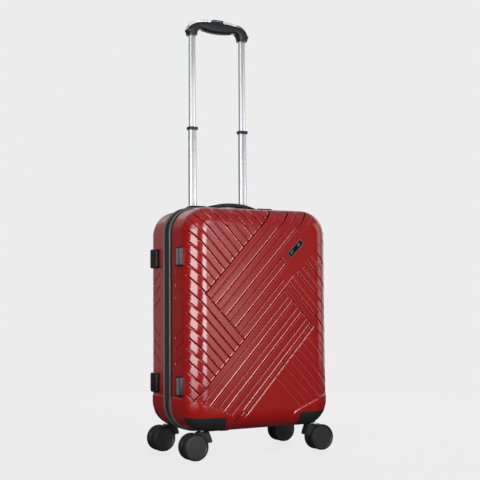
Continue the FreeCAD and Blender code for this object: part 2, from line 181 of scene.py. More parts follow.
studio = dict(
    background=shade(236, 236, 237), fill=(0.032, 0.032, 0.033, 1), overhead=(0.26, 0.26, 0.265, 1),
    rise=(0.35, 0.95),
    # name: middle, point it faces, width, height, brightness
    lamps={
        "frontCore": ((0.12, -2.45, 0.5), (0.12, 0, 0.5), 0.92, 1.0, 6.6),
        "frontHigh": ((0.12, -2.45, 1.5), (0.12, 0, 1.0), 0.92, 1.0, 3.2),
        "frontEdge": ((0.90, -2.45, 1.0), (0.90, 0, 1.0), 0.64, 2.0, 1.2),
        "leftBox": ((-1.99, -1.21, 0.5), (-0.15, 0, 0.5), 1.66, 1.0, 5.6),
        "leftHigh": ((-1.99, -1.21, 1.5), (-0.15, 0, 1.0), 1.66, 1.0, 2.0),
        "backCard": ((0.83, 2.4, 1.1), (0.83, 0, 1.1), 4.26, 2.2, 0.24),
        "rightCard": ((2.3, 1.0, 1.0), (0.1, 0, 0.8), 2.4, 2.0, 0.9),
        "rightBox": ((2.3, -1.1, 0.9), (0.15, 0, 0.6), 1.3, 1.7, 1.0),
        "rearKey": ((1.25, 2.4, 0.45), (0.1, 0.1, 0.3), 1.6, 0.9, 2.5),
        "rearSoft": ((0.5, 2.3, 2.3), (0, 0, 0.4), 2.4, 1.6, 0.45),
    },
)


def makeStudio(s):
    world = bpy.data.worlds.new("studio")
    sky = Tree(world)
    lit, out = sky.nodes["Background"], sky.nodes["World Output"]
    height = sky.axes(sky.node("ShaderNodeTexCoord", out="Generated"))[2]
    sky.join(sky.ramp(height, list(zip(s["rise"], (s["fill"], s["overhead"])))), lit.inputs["Color"])
    ray = sky.node("ShaderNodeLightPath", out="Is Camera Ray")
    seen = sky.node("ShaderNodeBackground", {}, {"Color": s["background"]})
    both = sky.node("ShaderNodeMixShader", {}, {0: ray, 1: Wire(sky, lit.outputs[0]), 2: seen})
    sky.join(both, out.inputs["Surface"])
    bpy.context.scene.world = world
    bpy.context.scene.view_settings.view_transform = "Standard"
    for name, (middle, aim, width, height, brightness) in s["lamps"].items():
        lamp = bpy.data.lights.new(name, "AREA")
        lamp.shape, lamp.size, lamp.size_y = "RECTANGLE", width, height
        lamp.energy = brightness * math.pi * width * height
        holder = bpy.data.objects.new(name, lamp)
        holder.location = middle
        holder.rotation_euler = (Vector(aim) - Vector(middle)).to_track_quat("-Z", "Y").to_euler()
        holder.visible_camera = False
        bpy.context.scene.collection.objects.link(holder)


ground = dict(radius=60, segments=96, fadeOver=2.2, fade=(0.12, 0.75), glow=0.93)


def makeFloor(s, g):
    # pale floor that fades into the background; only the camera sees it, so it doesn't tint the case
    finish = Finish("floorPale", Roughness=0.9, Specular_IOR_Level=0.1)
    spot = finish.node("ShaderNodeVectorMath", {"operation": "LENGTH"}, {0: finish.place()}, out="Value")
    far = finish.ramp(spot / g["fadeOver"], list(zip(g["fade"], ((0, 0, 0, 1), (1, 1, 1, 1)))))
    cloud = finish.noise(finish.place(), 30)
    finish.set(Base_Color=finish.mixed(cloud, shade(70, 70, 71), shade(74, 74, 75)))
    finish.set(Emission_Color=s["background"], Emission_Strength=g["glow"])
    glow = finish.node("ShaderNodeEmission", {}, {"Color": s["background"]})
    near = Wire(finish, finish.shader.outputs[0])
    both = finish.node("ShaderNodeMixShader", {}, {0: far, 1: near, 2: glow})
    finish.join(both, finish.nodes["Material Output"].inputs["Surface"])
    sheet = bmesh.new()
    bmesh.ops.create_circle(sheet, cap_ends=True, radius=g["radius"], segments=g["segments"])
    mesh = bpy.data.meshes.new("floor")
    sheet.to_mesh(mesh)
    mesh.materials.append(finish.material)
    floor = bpy.data.objects.new("floor", mesh)
    bpy.context.scene.collection.objects.link(floor)
    floor.visible_glossy = floor.visible_diffuse = False


makeCamera(view)
makeStudio(studio)
makeFloor(studio, ground)
print("camera, floor and light")


# finishes

moulded = dict(speck=0.12, rubbed=0.06, coatRoughness=0.15)


def gloss(name, colour, roughness, grain=900, depth=0.03, coat=0.0):
    # moulded plastic: fine grain, colour that drifts a little, gloss that varies where hands rub it
    m = moulded
    f = Finish(name, Coat_Weight=coat, Coat_Roughness=m["coatRoughness"])
    where = f.place()
    drift = f.noise(where, 14, 3)
    wearAndSheen = f.noise(where, 55, 4, 0.6)
    f.set(Base_Color=f.mixed(drift, dimmed(colour, 1 - m["speck"]), dimmed(colour, 1 + m["speck"])),
          Roughness=f.spread(wearAndSheen, roughness - m["rubbed"], roughness + m["rubbed"]))
    f.bump(f.noise(where, grain, 2) + 0.5 * f.noise(where, grain * 2.7, 1), depth * mm)
    return f.material


def shellFinish():
    # pigmented plastic under a clear lacquer, with a very fine pebble and faint rubbing;
    # the grooves are painted with shade and hold little lacquer, and the lips beside them get a painted
    # highlight
    f = Finish("shellRed", Coat_Roughness=0.155, Coat_IOR=1.82, Specular_IOR_Level=0.12)
    where = f.place()
    groove = f.node("ShaderNodeAttribute", {"attribute_name": "groove"}, out="Fac")
    lip = f.node("ShaderNodeAttribute", {"attribute_name": "lip"}, out="Fac")
    drift = f.noise(where, 9, 3)
    rub = f.noise(f.stretched(where, (60, 60, 7)), 3, 4, 0.65)
    paint = f.mixed(drift, shade(155, 16, 15), shade(162, 18, 17))
    # painted highlight: the lips beside the grooves are tinted light pink, more or less as the rub noise
    # varies
    wearAndSheen = f.mixed(lip * f.spread(rub, 0.45, 0.85), paint, shade(232, 108, 110))
    # painted shade: the grooves are darkened towards deep maroon
    f.set(Base_Color=f.mixed(groove, wearAndSheen, shade(76, 3, 7)),
          Roughness=f.spread(rub, 0.34, 0.44) + 0.15 * groove,
          Coat_Weight=0.95 - 0.9 * groove)
    f.bump(f.noise(where, 1500, 2) + 0.7 * f.noise(where, 420, 2), 0.005 * mm)
    return f.material


def cloth(name, colour, pitch, roughness=0.85, sheen=0.2, depth=0.25):
    # plain weave: two sets of threads, one over the other
    f = Finish(name, Sheen_Weight=sheen, Sheen_Roughness=0.5, Roughness=roughness)
    where = f.place()
    turn = 2 * math.pi / pitch
    x, y, z = f.axes(where)
    warp = ((x + y) * turn).sine()
    weft = (z * turn).sine()
    weave = 0.5 + 0.25 * (warp + weft) * f.spread(f.noise(where, 2500, 1), 0.7, 1.2)
    f.set(Base_Color=f.mixed(weave, dimmed(colour, 0.55), colour))
    f.bump(weave, depth * mm)
    return f.material


def metal(name, colour, roughness, along=(1, 1, 1), depth=0.004, mirror=1.0):
    # drawn or brushed metal; the grain runs where along is small, and an anodised skin is less of a mirror
    f = Finish(name, Metallic=mirror)
    where = f.stretched(f.place(), along)
    lines = f.noise(where, 900, 3, 0.6)
    f.set(Base_Color=f.mixed(lines, dimmed(colour, 0.86), colour),
          Roughness=f.spread(lines, roughness - 0.05, roughness + 0.08))
    f.bump(lines, depth * mm)
    return f.material


def turnedPlastic():
    # wheel disc: fine rings round the axle, which is the piece's own Y axis
    f = Finish("hubGrey", Coat_Weight=0.5, Coat_Roughness=0.22)
    turning = dict(pitch=0.9, rim=24.3, rimHalf=1.2)
    where = f.place()
    x, _, z = f.axes(where)
    radius = (x * x + z * z).root()
    rings = (radius * 2 * math.pi / (turning["pitch"] * mm)).sine()
    plain = f.mixed(f.noise(where, 60, 3), shade(30, 30, 31), shade(44, 44, 45))
    # painted highlight: the raised rim is tinted light grey
    off = (radius - turning["rim"] * mm) / (turning["rimHalf"] * mm)
    rim = (1 - off * off).positive()
    f.set(Base_Color=f.mixed(rim, plain, shade(104, 104, 106)),
          Roughness=f.spread(f.noise(where, 300, 2), 0.34, 0.46))
    f.bump(rings, 0.03 * mm)
    return f.material


def tyreFinish():
    f = Finish("tyreBlack", Specular_IOR_Level=0.35)
    where = f.place()
    dust = f.noise(where, 120, 4, 0.65)
    f.set(Base_Color=f.mixed(dust, shade(13, 13, 13), shade(34, 33, 32)),
          Roughness=f.spread(dust, 0.5, 0.7))
    f.bump(f.noise(where, 1300, 3), 0.05 * mm)
    return f.material


red = shellFinish()
mouldingBlack = gloss("mouldingBlack", shade(37, 39, 39), 0.42, 1100, 0.05)
gripBlack = gloss("gripBlack", shade(27, 29, 30), 0.40, 1400, 0.05, coat=0.1)
handleBlack = gloss("handleBlack", shade(18, 18, 19), 0.36, 1200, 0.04)
# painted reflection: light grey standing in for the studio reflected in the black glossy faces of the front
# feet
padPaintedReflection = gloss("footPadPaintedReflection", shade(112, 121, 122), 0.34, 700, 0.03, coat=0.3)
rubberBlack = gloss("rubberBlack", shade(17, 17, 18), 0.45, 800, 0.06)
lockBlack = gloss("lockBlack", shade(22, 22, 23), 0.3, 1000, 0.03)
badgeRim = metal("badgeRim", shade(112, 116, 116), 0.42, (1, 1, 1))
badgeBlack = gloss("badgeBlack", shade(14, 16, 17), 0.16, 1500, 0.01, coat=0.6)
# painted shadow: colour of the dark strip beside the piping
pipingShadowBlack = gloss("rimShadowStrip", shade(18, 12, 13), 0.5)
vinylGrey = gloss("pipingVinyl", shade(88, 90, 88), 0.34, 700, 0.05, coat=0.2)
hubGrey = turnedPlastic()
tyreBlack = tyreFinish()
tubeSilver = metal("tubeAluminium", shade(228, 231, 235), 0.3, (1, 1, 0.01), mirror=0.5)
trimSilver = metal("trimSilver", shade(226, 228, 230), 0.25, (0.3, 1, 1), mirror=0.6)
steelGrey = metal("steelGrey", shade(150, 152, 156), 0.35)
zipSteel = metal("zipSteel", shade(70, 71, 74), 0.3)
tapeCloth = cloth("zipTape", shade(24, 24, 25), 0.9 * mm)
hingeCloth = cloth("hingeCloth", shade(17, 17, 19), 1.1 * mm, sheen=0.1)
liningCloth = cloth("liningCloth", shade(58, 60, 64), 0.7 * mm, depth=0.12)
webCloth = cloth("webCloth", shade(28, 28, 30), 1.6 * mm, depth=0.35)
coilNylon = gloss("coilNylon", shade(22, 22, 23), 0.34, 900, 0.02)
threadGrey = cloth("threadGrey", shade(74, 74, 76), 0.4 * mm, depth=0.05)
print("finishes")


# tools that make the meshes

softAngle = 30      # degrees; CAD edges sharper than this are bevelled or kept crisp


def piece(name, work, finish, body, standsFor=(), sharp=35):
    mesh = bpy.data.meshes.new(name)
    bmesh.ops.recalc_face_normals(work, faces=work.faces[:])
    bmesh.ops.scale(work, vec=(mm, mm, mm), verts=work.verts[:])
    work.to_mesh(mesh)
    work.free()
    mesh.polygons.foreach_set("use_smooth", [True] * len(mesh.polygons))
    mesh.set_sharp_from_angle(angle=math.radians(sharp))
    mesh.materials.append(finish)
    made = bpy.data.objects.new(name, mesh)
    bpy.context.scene.collection.objects.link(made)
    if body:
        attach(made, body)
    if standsFor:
        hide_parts(*standsFor)
    return made


def soften(thing, width, segments):
    bevel = thing.modifiers.new("edges", "BEVEL")
    bevel.width, bevel.segments, bevel.limit_method = width * mm, segments, "ANGLE"
    bevel.angle_limit = math.radians(softAngle)
    bevel.harden_normals = True


def circle(count):
    return [2 * math.pi * k / count for k in range(count)]


def loft(work, rings, closed=False, caps=True):
    rows = [[work.verts.new(p) for p in ring] for ring in rings]
    pairs = list(zip(rows, rows[1:])) + ([(rows[-1], rows[0])] if closed else [])
    for first, second in pairs:
        for i in range(len(first)):
            j = (i + 1) % len(first)
            work.faces.new((first[i], first[j], second[j], second[i]))
    if caps and not closed:
        work.faces.new(rows[0])
        work.faces.new(rows[-1])
    return rows


def softRectangle(width, depth, radius, steps=4):
    points = []
    for corner in range(4):
        sx, sy = ((1, 1), (-1, 1), (-1, -1), (1, -1))[corner]
        for k in range(steps + 1):
            a = math.radians(90 * (corner + k / steps))
            points.append((sx * (width / 2 - radius) + radius * math.cos(a),
                           sy * (depth / 2 - radius) + radius * math.sin(a)))
    return points


def turned(work, profile, centre, count):
    # profile holds (radius, distance along Y) pairs and closes on itself
    loft(work, [[Vector(centre) + Vector((radius * math.cos(a), along, radius * math.sin(a)))
                 for a in circle(count)] for radius, along in profile], closed=True)


def upright(work, profile, x, y, count, closed=False):
    # profile holds (radius, height) pairs
    loft(work, [[Vector((x + radius * math.cos(a), y + radius * math.sin(a), z)) for a in circle(count)]
                for radius, z in profile], closed)


def block(work, low, high, bevel=0.0):
    made = bmesh.ops.create_cube(work, size=1)["verts"]
    low, high = Vector(low), Vector(high)
    for v in made:
        v.co = Vector(low[i] + (v.co[i] + 0.5) * (high[i] - low[i]) for i in range(3))
    if bevel:
        edges = list({e for v in made for e in v.link_edges})
        bmesh.ops.bevel(work, geom=edges, offset=bevel, segments=2, affect="EDGES", profile=0.5)


def smooth(value):
    value = np.clip(value, 0, 1)
    return value * value * (3 - 2 * value)


# the shells

frontLow, frontHigh = cad("front_shell")
rearLow, rearHigh = cad("rear_shell")
case = dict(
    rim=frontHigh.x, top=frontHigh.z, bottom=frontLow.z, rimCorner=58.0,
    lean=2.0, faceCurve=42.0, wall=2.4, innerStep=9.0,
)
case["middle"] = (case["top"] + case["bottom"]) / 2
case["halfHigh"] = (case["top"] - case["bottom"]) / 2


class HalfShell:
    # unrolls half of the case: the distance d outside the flat of its face
    # runs over the rounding and up the wall
    def __init__(self, faceY, rimY, mirrored):
        self.sign = 1 if faceY > 0 else -1
        self.faceY, self.rimY = faceY, rimY
        self.flip = -1 if mirrored else 1
        depth = abs(faceY - rimY)
        self.tilt = math.atan2(case["lean"], depth)
        self.curve = case["faceCurve"]
        self.sweep = math.pi / 2 - self.tilt
        shrink = case["lean"] + self.curve * math.tan(self.sweep / 2)
        self.halfX = case["rim"] - shrink
        self.halfZ = case["halfHigh"] - shrink
        self.corner = case["rimCorner"] - shrink
        self.arc = self.curve * self.sweep
        self.reach = self.arc + (depth - self.curve * (1 - math.cos(self.sweep))) / math.cos(self.tilt)

    def unroll(self, x, z):
        # distance outside the flat, and the direction in which it grows
        qx, qz = abs(x) - self.halfX + self.corner, abs(z - case["middle"]) - self.halfZ + self.corner
        ox, oz = np.maximum(qx, 0), np.maximum(qz, 0)
        far = np.hypot(ox, oz)
        d = far + np.minimum(np.maximum(qx, qz), 0) - self.corner
        safe = np.maximum(far, 1e-9)
        nx = np.where(far > 0, ox / safe, qx > qz) * np.sign(x)
        nz = np.where(far > 0, oz / safe, qz >= qx) * np.sign(z - case["middle"])
        return d, nx, nz

    def pressed(self, x, z, undo=False):
        # the ribs are pressed straight in from the front, so over the rounding they crowd together
        d, nx, nz = self.unroll(x, z)
        steep = ribs["steepest"]
        seen, along = self.curve * math.sin(steep), self.curve * steep
        if undo:
            bent = self.curve * np.arcsin(np.clip(d, 0, seen) / self.curve)
            move = np.where(d > seen, along + (d - seen) / math.cos(steep), bent) - d
        else:
            bent = self.curve * np.sin(np.clip(d, 0, along) / self.curve)
            move = np.where(d > along, seen + (d - along) * math.cos(steep), bent) - d
        move = np.where(d > 0, move, 0)
        return x + nx * move, z + nz * move

    def folded(self, x, z, height):
        # points of the flat sheet on the case, moved outwards by height
        d, nx, nz = self.unroll(x, z)
        turn = np.clip(d / self.curve, 0, self.sweep)
        past = np.maximum(d - self.arc, 0)
        out = np.where(d <= 0, d, self.curve * np.sin(turn) + past * math.sin(self.tilt))
        inward = self.curve * (1 - np.cos(turn)) + past * math.cos(self.tilt)
        out = out + height * np.sin(turn) * (d > 0)
        inward = inward - height * np.cos(turn)
        px = x + nx * (out - d)
        pz = z + nz * (out - d)
        return np.stack([self.flip * px, self.faceY - self.sign * inward, pz], axis=1)


ribs = dict(
    slope=47.0, startX=-60.0, startZ=60.0,     # both families are counted from this corner
    pitch=34.75, rising=21.7,                  # rising lines are t = rising + k * pitch
    fallingUpper=144.3, fallingUpperPitch=34.5,
    fallingLower=19.7,
    upperEdge=265.6, lowerEdge=126.0, leftEdge=142.3, rightEdge=297.0, endEdge=12.0,
    capAt=338.6, softEnds=306.0, rightShift=-3.6, spanS=(-205, 625), spanT=(-295, 540),
    changeover=10.0,                           # the upper falling lines start this far left of leftEdge
    fadeFrom=43.0, fadeOver=13.0, steepest=1.05, widest=4.2, closest=0.35, spare=9.0,
    lipsOff=6.0, lipsOver=8.0,                 # the lips flatten out from this far inside the rounding
    # (distance from the middle of the groove, height)
    sharp=((0, -2.1), (0.8, -2.0), (1.5, -0.2), (2.1, 0.35), (2.8, 0.25), (3.6, 0)),
    soft=((0, -1.5), (0.9, -1.3), (1.8, -0.5), (2.8, 0)),
)
boots = dict(
    # (distance from the middle, height) along their upper edge
    edge=((70, -20), (73, 84), (81, 95), (99, 103), (127, 114), (156, 126), (190, 131), (275, 132)),
    proud=1.35, ramp=3.0,
)
# sunk panel of fine slanted lines on each side wall
panel = dict(
    near=57.0, far=99.0, low=196.0, high=412.0, lean=0.58, half=1.7, depth=0.9, sunk=0.35,
    rising=(395, 366, 337), falling=(275, 246, 217),
)


def fromLattice(s, t):
    a = math.radians(ribs["slope"])
    return ribs["startX"] + (s - t) * math.cos(a), ribs["startZ"] + (s + t) * math.sin(a)


def toLattice(x, z):
    a = math.radians(ribs["slope"])
    u, v = (x - ribs["startX"]) / math.cos(a), (z - ribs["startZ"]) / math.sin(a)
    s, t = (u + v) / 2, (v - u) / 2
    return s - rightShift(s, t), t


def rightShift(s, t):
    # the falling grooves right of the plain patch sit a little off those of the upper left
    nearLower = 1 - smooth((t - ribs["lowerEdge"]) / (ribs["upperEdge"] - ribs["lowerEdge"]))
    return ribs["rightShift"] * nearLower * smooth((s - 255) / 40)


def ribHeight(x, z, half):
    d = half.unroll(x, z)[0]
    s, t = toLattice(*half.pressed(x, z))
    r = ribs
    cut, lip = np.zeros_like(s), np.zeros_like(s)

    def carve(mask, distance, shape, amount=1.0):
        h = np.interp(np.abs(distance), *zip(*r[shape])) * amount * mask
        np.minimum(cut, h, out=cut)
        np.maximum(lip, h, out=lip)

    def away(value, start, pitch):
        return (value - start + pitch / 2) % pitch - pitch / 2

    upper = t >= r["upperEdge"]
    middle = (t >= r["lowerEdge"]) & ~upper & (s >= r["leftEdge"])
    left = (t >= r["lowerEdge"]) & ~upper & (s < r["leftEdge"])
    lower = (t >= r["endEdge"]) & (t < r["lowerEdge"]) & (s < r["rightEdge"])
    right = (t < r["lowerEdge"]) & (s >= r["rightEdge"])
    tail = (t < r["endEdge"]) & (s < r["rightEdge"])
    upperPitch = r["fallingUpperPitch"]
    beyondLeft = s > r["leftEdge"] - r["changeover"]
    for shape, offset in (("sharp", 0), ("soft", 0.5)):
        fallingUpper = away(s, r["fallingUpper"] + offset * upperPitch, upperPitch)
        fallingLower = away(s, r["fallingLower"] + offset * r["pitch"], r["pitch"])
        rising = away(t, r["rising"] + offset * r["pitch"], r["pitch"])
        carve(upper & beyondLeft, fallingUpper, shape)
        carve((left | upper) & ~beyondLeft, fallingLower, shape)
        plain = (s > r["capAt"]) & (t < r["rising"] + 4.5 * r["pitch"] + 1)
        shortSoft = (s > r["softEnds"]) & (t < r["lowerEdge"] + 25) if offset else False
        carve(middle & ~plain & ~shortSoft, rising, shape)
        carve(lower, rising, shape)
        carve(right & (s > r["rightEdge"] + 8), fallingUpper, shape, 0.45 if offset else 0.9)
        carve(tail & (s > r["leftEdge"]), fallingUpper, shape, 0.35)
    carve(s > r["leftEdge"] - 1, t - r["upperEdge"], "sharp", 1.1)
    carve(s < r["rightEdge"], t - r["lowerEdge"], "sharp")
    carve(middle | left, s - r["leftEdge"], "soft")
    carve(lower | right, s - r["rightEdge"], "soft")
    carve(lower | tail, t - r["endEdge"], "soft", 0.6)
    capped = (t > r["rising"] + 4 * r["pitch"] - 1) & (t < r["rising"] + 4.5 * r["pitch"])
    carve(capped, s - r["capAt"], "sharp")
    lip *= 1 - smooth((d + r["lipsOff"]) / r["lipsOver"])
    height = cut + lip * (1 + np.clip(cut, -1, 0))
    return height * (1 - smooth((d - r["fadeFrom"]) / r["fadeOver"]))


def markRelief(work, height):
    # how deep in a groove and how high on a lip each point is, for the finish, which paints shade into the
    # grooves and a highlight on the lips
    groove = work.verts.layers.float.new("groove")
    lip = work.verts.layers.float.new("lip")
    for v, h in zip(work.verts, height):
        v[groove] = float(smooth((-h - 0.5) / 1.5))
        v[lip] = float(np.clip((h - 0.12) / 0.23, 0, 1))


def insideBoots(x, z):
    # distance inside the corner boots' edge, negative outside
    ax = np.abs(x)
    best = np.full_like(ax, 1e9)
    for (x0, z0), (x1, z1) in zip(boots["edge"], boots["edge"][1:]):
        run = np.array((x1 - x0, z1 - z0), float)
        k = np.clip(((ax - x0) * run[0] + (z - z0) * run[1]) / (run @ run), 0, 1)
        best = np.minimum(best, np.hypot(ax - x0 - k * run[0], z - z0 - k * run[1]))
    edgeZ = np.interp(ax, *zip(*boots["edge"]))
    within = (ax > boots["edge"][0][0]) & (z < edgeZ)
    return np.where(within, best, -best)


def relief(x, z, half):
    d, nx, nz = half.unroll(x, z)
    height = ribHeight(x, z, half)
    raised = smooth(insideBoots(x, z) / boots["ramp"])
    p = panel
    on = (np.abs(nx) > 0.99) & (d > p["near"]) & (d < p["far"]) & (z > p["low"]) & (z < p["high"])
    middleD = (p["near"] + p["far"]) / 2
    fine = np.zeros_like(d)
    for lines, way in ((p["rising"], 1), (p["falling"], -1)):
        for level in lines:
            away = (z - level - way * p["lean"] * (d - middleD)) / math.hypot(1, p["lean"])
            fine = np.minimum(fine, -p["depth"] * (1 - smooth(np.abs(away) / p["half"])))
    height = height + on * (fine - p["sunk"])
    return height * (1 - raised) + boots["proud"] * raised


def latticeLines(groups, low, high):
    marks = sorted(m for starts, shape in groups for c in starts for o, _ in ribs[shape]
                   for m in ((c - o, c + o) if o else (c,)) if low < m < high)
    lines = [low]
    for mark in marks + [high]:
        gap = mark - lines[-1]
        if gap < ribs["closest"] and mark != high:
            continue
        lines.extend(np.linspace(lines[-1], mark, max(1, math.ceil(gap / ribs["widest"])) + 1)[1:])
    return lines


scoring = dict(reach=12, ends=0.5, merge=0.02)


def score(sheet, start, end):
    # cuts the flat sheet along one straight line
    reach = scoring["reach"]
    start, end = Vector((start[0], 0, start[1])), Vector((end[0], 0, end[1]))
    run = end - start
    along = run.normalized()
    across = Vector((-along.z, 0, along.x))
    near = []
    for face in sheet.faces:
        offset = face.verts[0].co - start
        if abs(offset.dot(across)) < reach and -reach < offset.dot(along) < run.length + reach:
            middle = face.calc_center_median() - start
            if -scoring["ends"] < middle.dot(along) < run.length + scoring["ends"]:
                near.append(face)
    edges = {e for f in near for e in f.edges}
    verts = {v for f in near for v in f.verts}
    bmesh.ops.bisect_plane(sheet, geom=near + list(edges) + list(verts), dist=scoring["merge"],
                           plane_co=start, plane_no=across)


def flatSheet(half):
    r = ribs

    def steps(start, pitch, first, last):
        return [start + k * pitch for k in range(first, last)]

    upperPitch = r["fallingUpperPitch"]
    falling = [(steps(r["fallingLower"], r["pitch"], -4, 4), "sharp"),
               (steps(r["fallingLower"] - r["pitch"] / 2, r["pitch"], -4, 4), "soft"),
               ([r["leftEdge"]], "soft"),
               (steps(r["fallingUpper"], upperPitch, 0, 12), "sharp"),
               (steps(r["fallingUpper"] + upperPitch / 2, upperPitch, 0, 11), "soft"),
               ([r["rightEdge"]], "soft"), ([r["capAt"]], "sharp")]
    rising = [(steps(r["rising"], r["pitch"], 0, 3) + steps(r["rising"], r["pitch"], 4, 7), "sharp"),
              ([r["lowerEdge"], r["upperEdge"]], "sharp"),
              (steps(r["rising"] + r["pitch"] / 2, r["pitch"], 0, 7), "soft"),
              ([r["endEdge"]], "soft")]
    s, t = np.meshgrid(latticeLines(falling, *r["spanS"]), latticeLines(rising, *r["spanT"]), indexing="ij")
    x, z = fromLattice(s + rightShift(s, t), t)
    x, z = half.pressed(x, z, undo=True)
    d = half.unroll(x, z)[0]
    keep = d < half.reach + r["spare"]
    whole = keep[:-1, :-1] & keep[1:, :-1] & keep[1:, 1:] & keep[:-1, 1:]
    sheet = bmesh.new()
    used = np.zeros(x.shape, bool)
    for a, b in ((0, 0), (1, 0), (1, 1), (0, 1)):
        used[a:used.shape[0] - 1 + a, b:used.shape[1] - 1 + b] |= whole
    verts = {}
    for i, j in zip(*np.nonzero(used)):
        verts[i, j] = sheet.verts.new((x[i, j], 0, z[i, j]))
    for i, j in zip(*np.nonzero(whole)):
        sheet.faces.new((verts[i, j], verts[i + 1, j], verts[i + 1, j + 1], verts[i, j + 1]))
    return sheet


def scoreSheet(sheet, half):
    for side in (-1, 1):
        for inset in (0, boots["ramp"]):
            points = []
            for k, (x, z) in enumerate(boots["edge"]):
                before = Vector(boots["edge"][max(k - 1, 0)])
                after = Vector(boots["edge"][min(k + 1, len(boots["edge"]) - 1)])
                normal = (after - before).normalized()
                points.append((side * (x + normal.y * inset), z - normal.x * inset))
            for start, end in zip(points, points[1:]):
                score(sheet, start, end)
        p = panel
        nearX, farX = half.halfX + p["near"], half.halfX + p["far"]
        middleX = (nearX + farX) / 2
        for lines, way in ((p["rising"], 1), (p["falling"], -1)):
            for level in lines:
                for offset in (-p["half"], 0, p["half"]):
                    drop = offset * math.hypot(1, p["lean"])
                    score(sheet, *[(side * e, level + drop + way * p["lean"] * (e - middleX))
                                   for e in (nearX, farX)])
        for edge in (-0.01, 0.7):
            for x in (side * (nearX + edge), side * (farX - edge)):
                score(sheet, (x, p["low"] - 2), (x, p["high"] + 2))


def innerSkin(half, gap, step):
    # plain skin inside the shell, on a coarse grid
    sheet = bmesh.new()
    spanX, spanZ = half.halfX + half.reach + 8, half.halfZ + half.reach + 8
    nx, nz = round(2 * spanX / step), round(2 * spanZ / step)
    x, z = np.meshgrid(np.linspace(-spanX, spanX, nx + 1),
                       case["middle"] + np.linspace(-spanZ, spanZ, nz + 1), indexing="ij")
    d = half.unroll(x.ravel(), z.ravel())[0].reshape(x.shape)
    co = half.folded(x.ravel(), z.ravel(), np.full(x.size, -gap))
    verts = {}
    for i in range(nx):
        for j in range(nz):
            around = ((i, j), (i + 1, j), (i + 1, j + 1), (i, j + 1))
            if max(d[a] for a in around) < half.reach + 1.6 * step:
                for a in around:
                    if a not in verts:
                        verts[a] = sheet.verts.new(co[a[0] * (nz + 1) + a[1]])
                sheet.faces.new([verts[a] for a in around])
    return sheet


def trimRim(work, half):
    geom = work.verts[:] + work.edges[:] + work.faces[:]
    bmesh.ops.bisect_plane(work, geom=geom, dist=0.002, plane_co=(0, half.rimY, 0),
                           plane_no=(0, -half.sign, 0), clear_outer=True)
    for edge in work.edges:
        if edge.is_boundary:
            for v in edge.verts:
                v.co.y = half.rimY


def makeShell(name, half, flat, cutters):
    work = flat.copy()
    co = np.array([v.co for v in work.verts])
    x, z = co[:, 0], co[:, 2]
    height = relief(x, z, half)
    placed = half.folded(x, z, height)
    raised = smooth(insideBoots(x, z) / boots["ramp"])
    markRelief(work, height - boots["proud"] * raised)
    for v, p in zip(work.verts, placed):
        v.co = p
    trimRim(work, half)
    inner = innerSkin(half, case["wall"], case["innerStep"])
    trimRim(inner, half)
    spare = bpy.data.meshes.new("spare")
    inner.to_mesh(spare)
    inner.free()
    work.from_mesh(spare)
    bpy.data.meshes.remove(spare)
    bmesh.ops.triangle_fill(work, edges=[e for e in work.edges if e.is_boundary], use_beauty=True)
    bmesh.ops.delete(work, geom=[v for v in work.verts if not v.link_faces], context="VERTS")
    made = piece(name, work, red, None, sharp=14)
    tool = piece(name + "Cut", cutters, red, None)
    cut = made.modifiers.new("cut", "BOOLEAN")
    cut.operation, cut.object, cut.solver = "DIFFERENCE", tool, "EXACT"
    # keeps the planks between the grooves flat in the light
    even = made.modifiers.new("even", "WEIGHTED_NORMAL")
    even.keep_sharp = True
    bpy.context.view_layer.update()
    result = bpy.data.meshes.new_from_object(made.evaluated_get(bpy.context.evaluated_depsgraph_get()))
    made.modifiers.clear()
    made.data = result
    bpy.data.objects.remove(tool)
    return made


frontHalf = HalfShell(frontLow.y, frontHigh.y, False)
rearHalf = HalfShell(rearHigh.y, rearLow.y, True)
pinHead = 7.0      # radius of the kingpins' heads, which end their CAD box
wellRoom = dict(radius=53.5, low=30, high=62.5, boss=10.4, bossHigh=67)
openings = dict(flange=6, bezelIn=5, through=20, lockFlange=4, lockIn=5)


def wellCutters(end):
    work = bmesh.new()
    pinLow, pinHigh = cad(f"{end}_kingpins")
    w = wellRoom
    for side in (-1, 1):
        x, y = side * (pinHigh.x - pinHead), (pinLow.y + pinHigh.y) / 2
        upright(work, ((w["radius"], w["low"]), (w["radius"], w["high"]),
                       (w["boss"], w["high"]), (w["boss"], w["bossHigh"])), x, y, 96)
    return work


sheet = flatSheet(frontHalf)
print("flat sheet", len(sheet.faces), "faces")
scoreSheet(sheet, frontHalf)
print("scored", len(sheet.faces), "faces")
shellFront = makeShell("shellFront", frontHalf, sheet, wellCutters("front"))
rearTools = wellCutters("rear")
low, high = cad("trolley_bezel")
block(rearTools, (low.x + openings["flange"], low.y + openings["bezelIn"], low.z + openings["flange"]),
      (high.x - openings["flange"], high.y + openings["through"], high.z + openings["through"]))
low, high = cad("lock_housing")
edge = Vector((-openings["lockIn"], openings["lockFlange"], openings["lockFlange"]))
block(rearTools, low + edge, high - edge)
shellRear = makeShell("shellRear", rearHalf, sheet, rearTools)
for made, body, node in ((shellFront, "front_case", "front_shell"), (shellRear, "rear_case", "rear_shell")):
    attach(made, body)
    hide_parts(node)
    print(made.name, len(made.data.polygons), "faces")
sheet.free()


# band between the shells

rimStep = 3.0


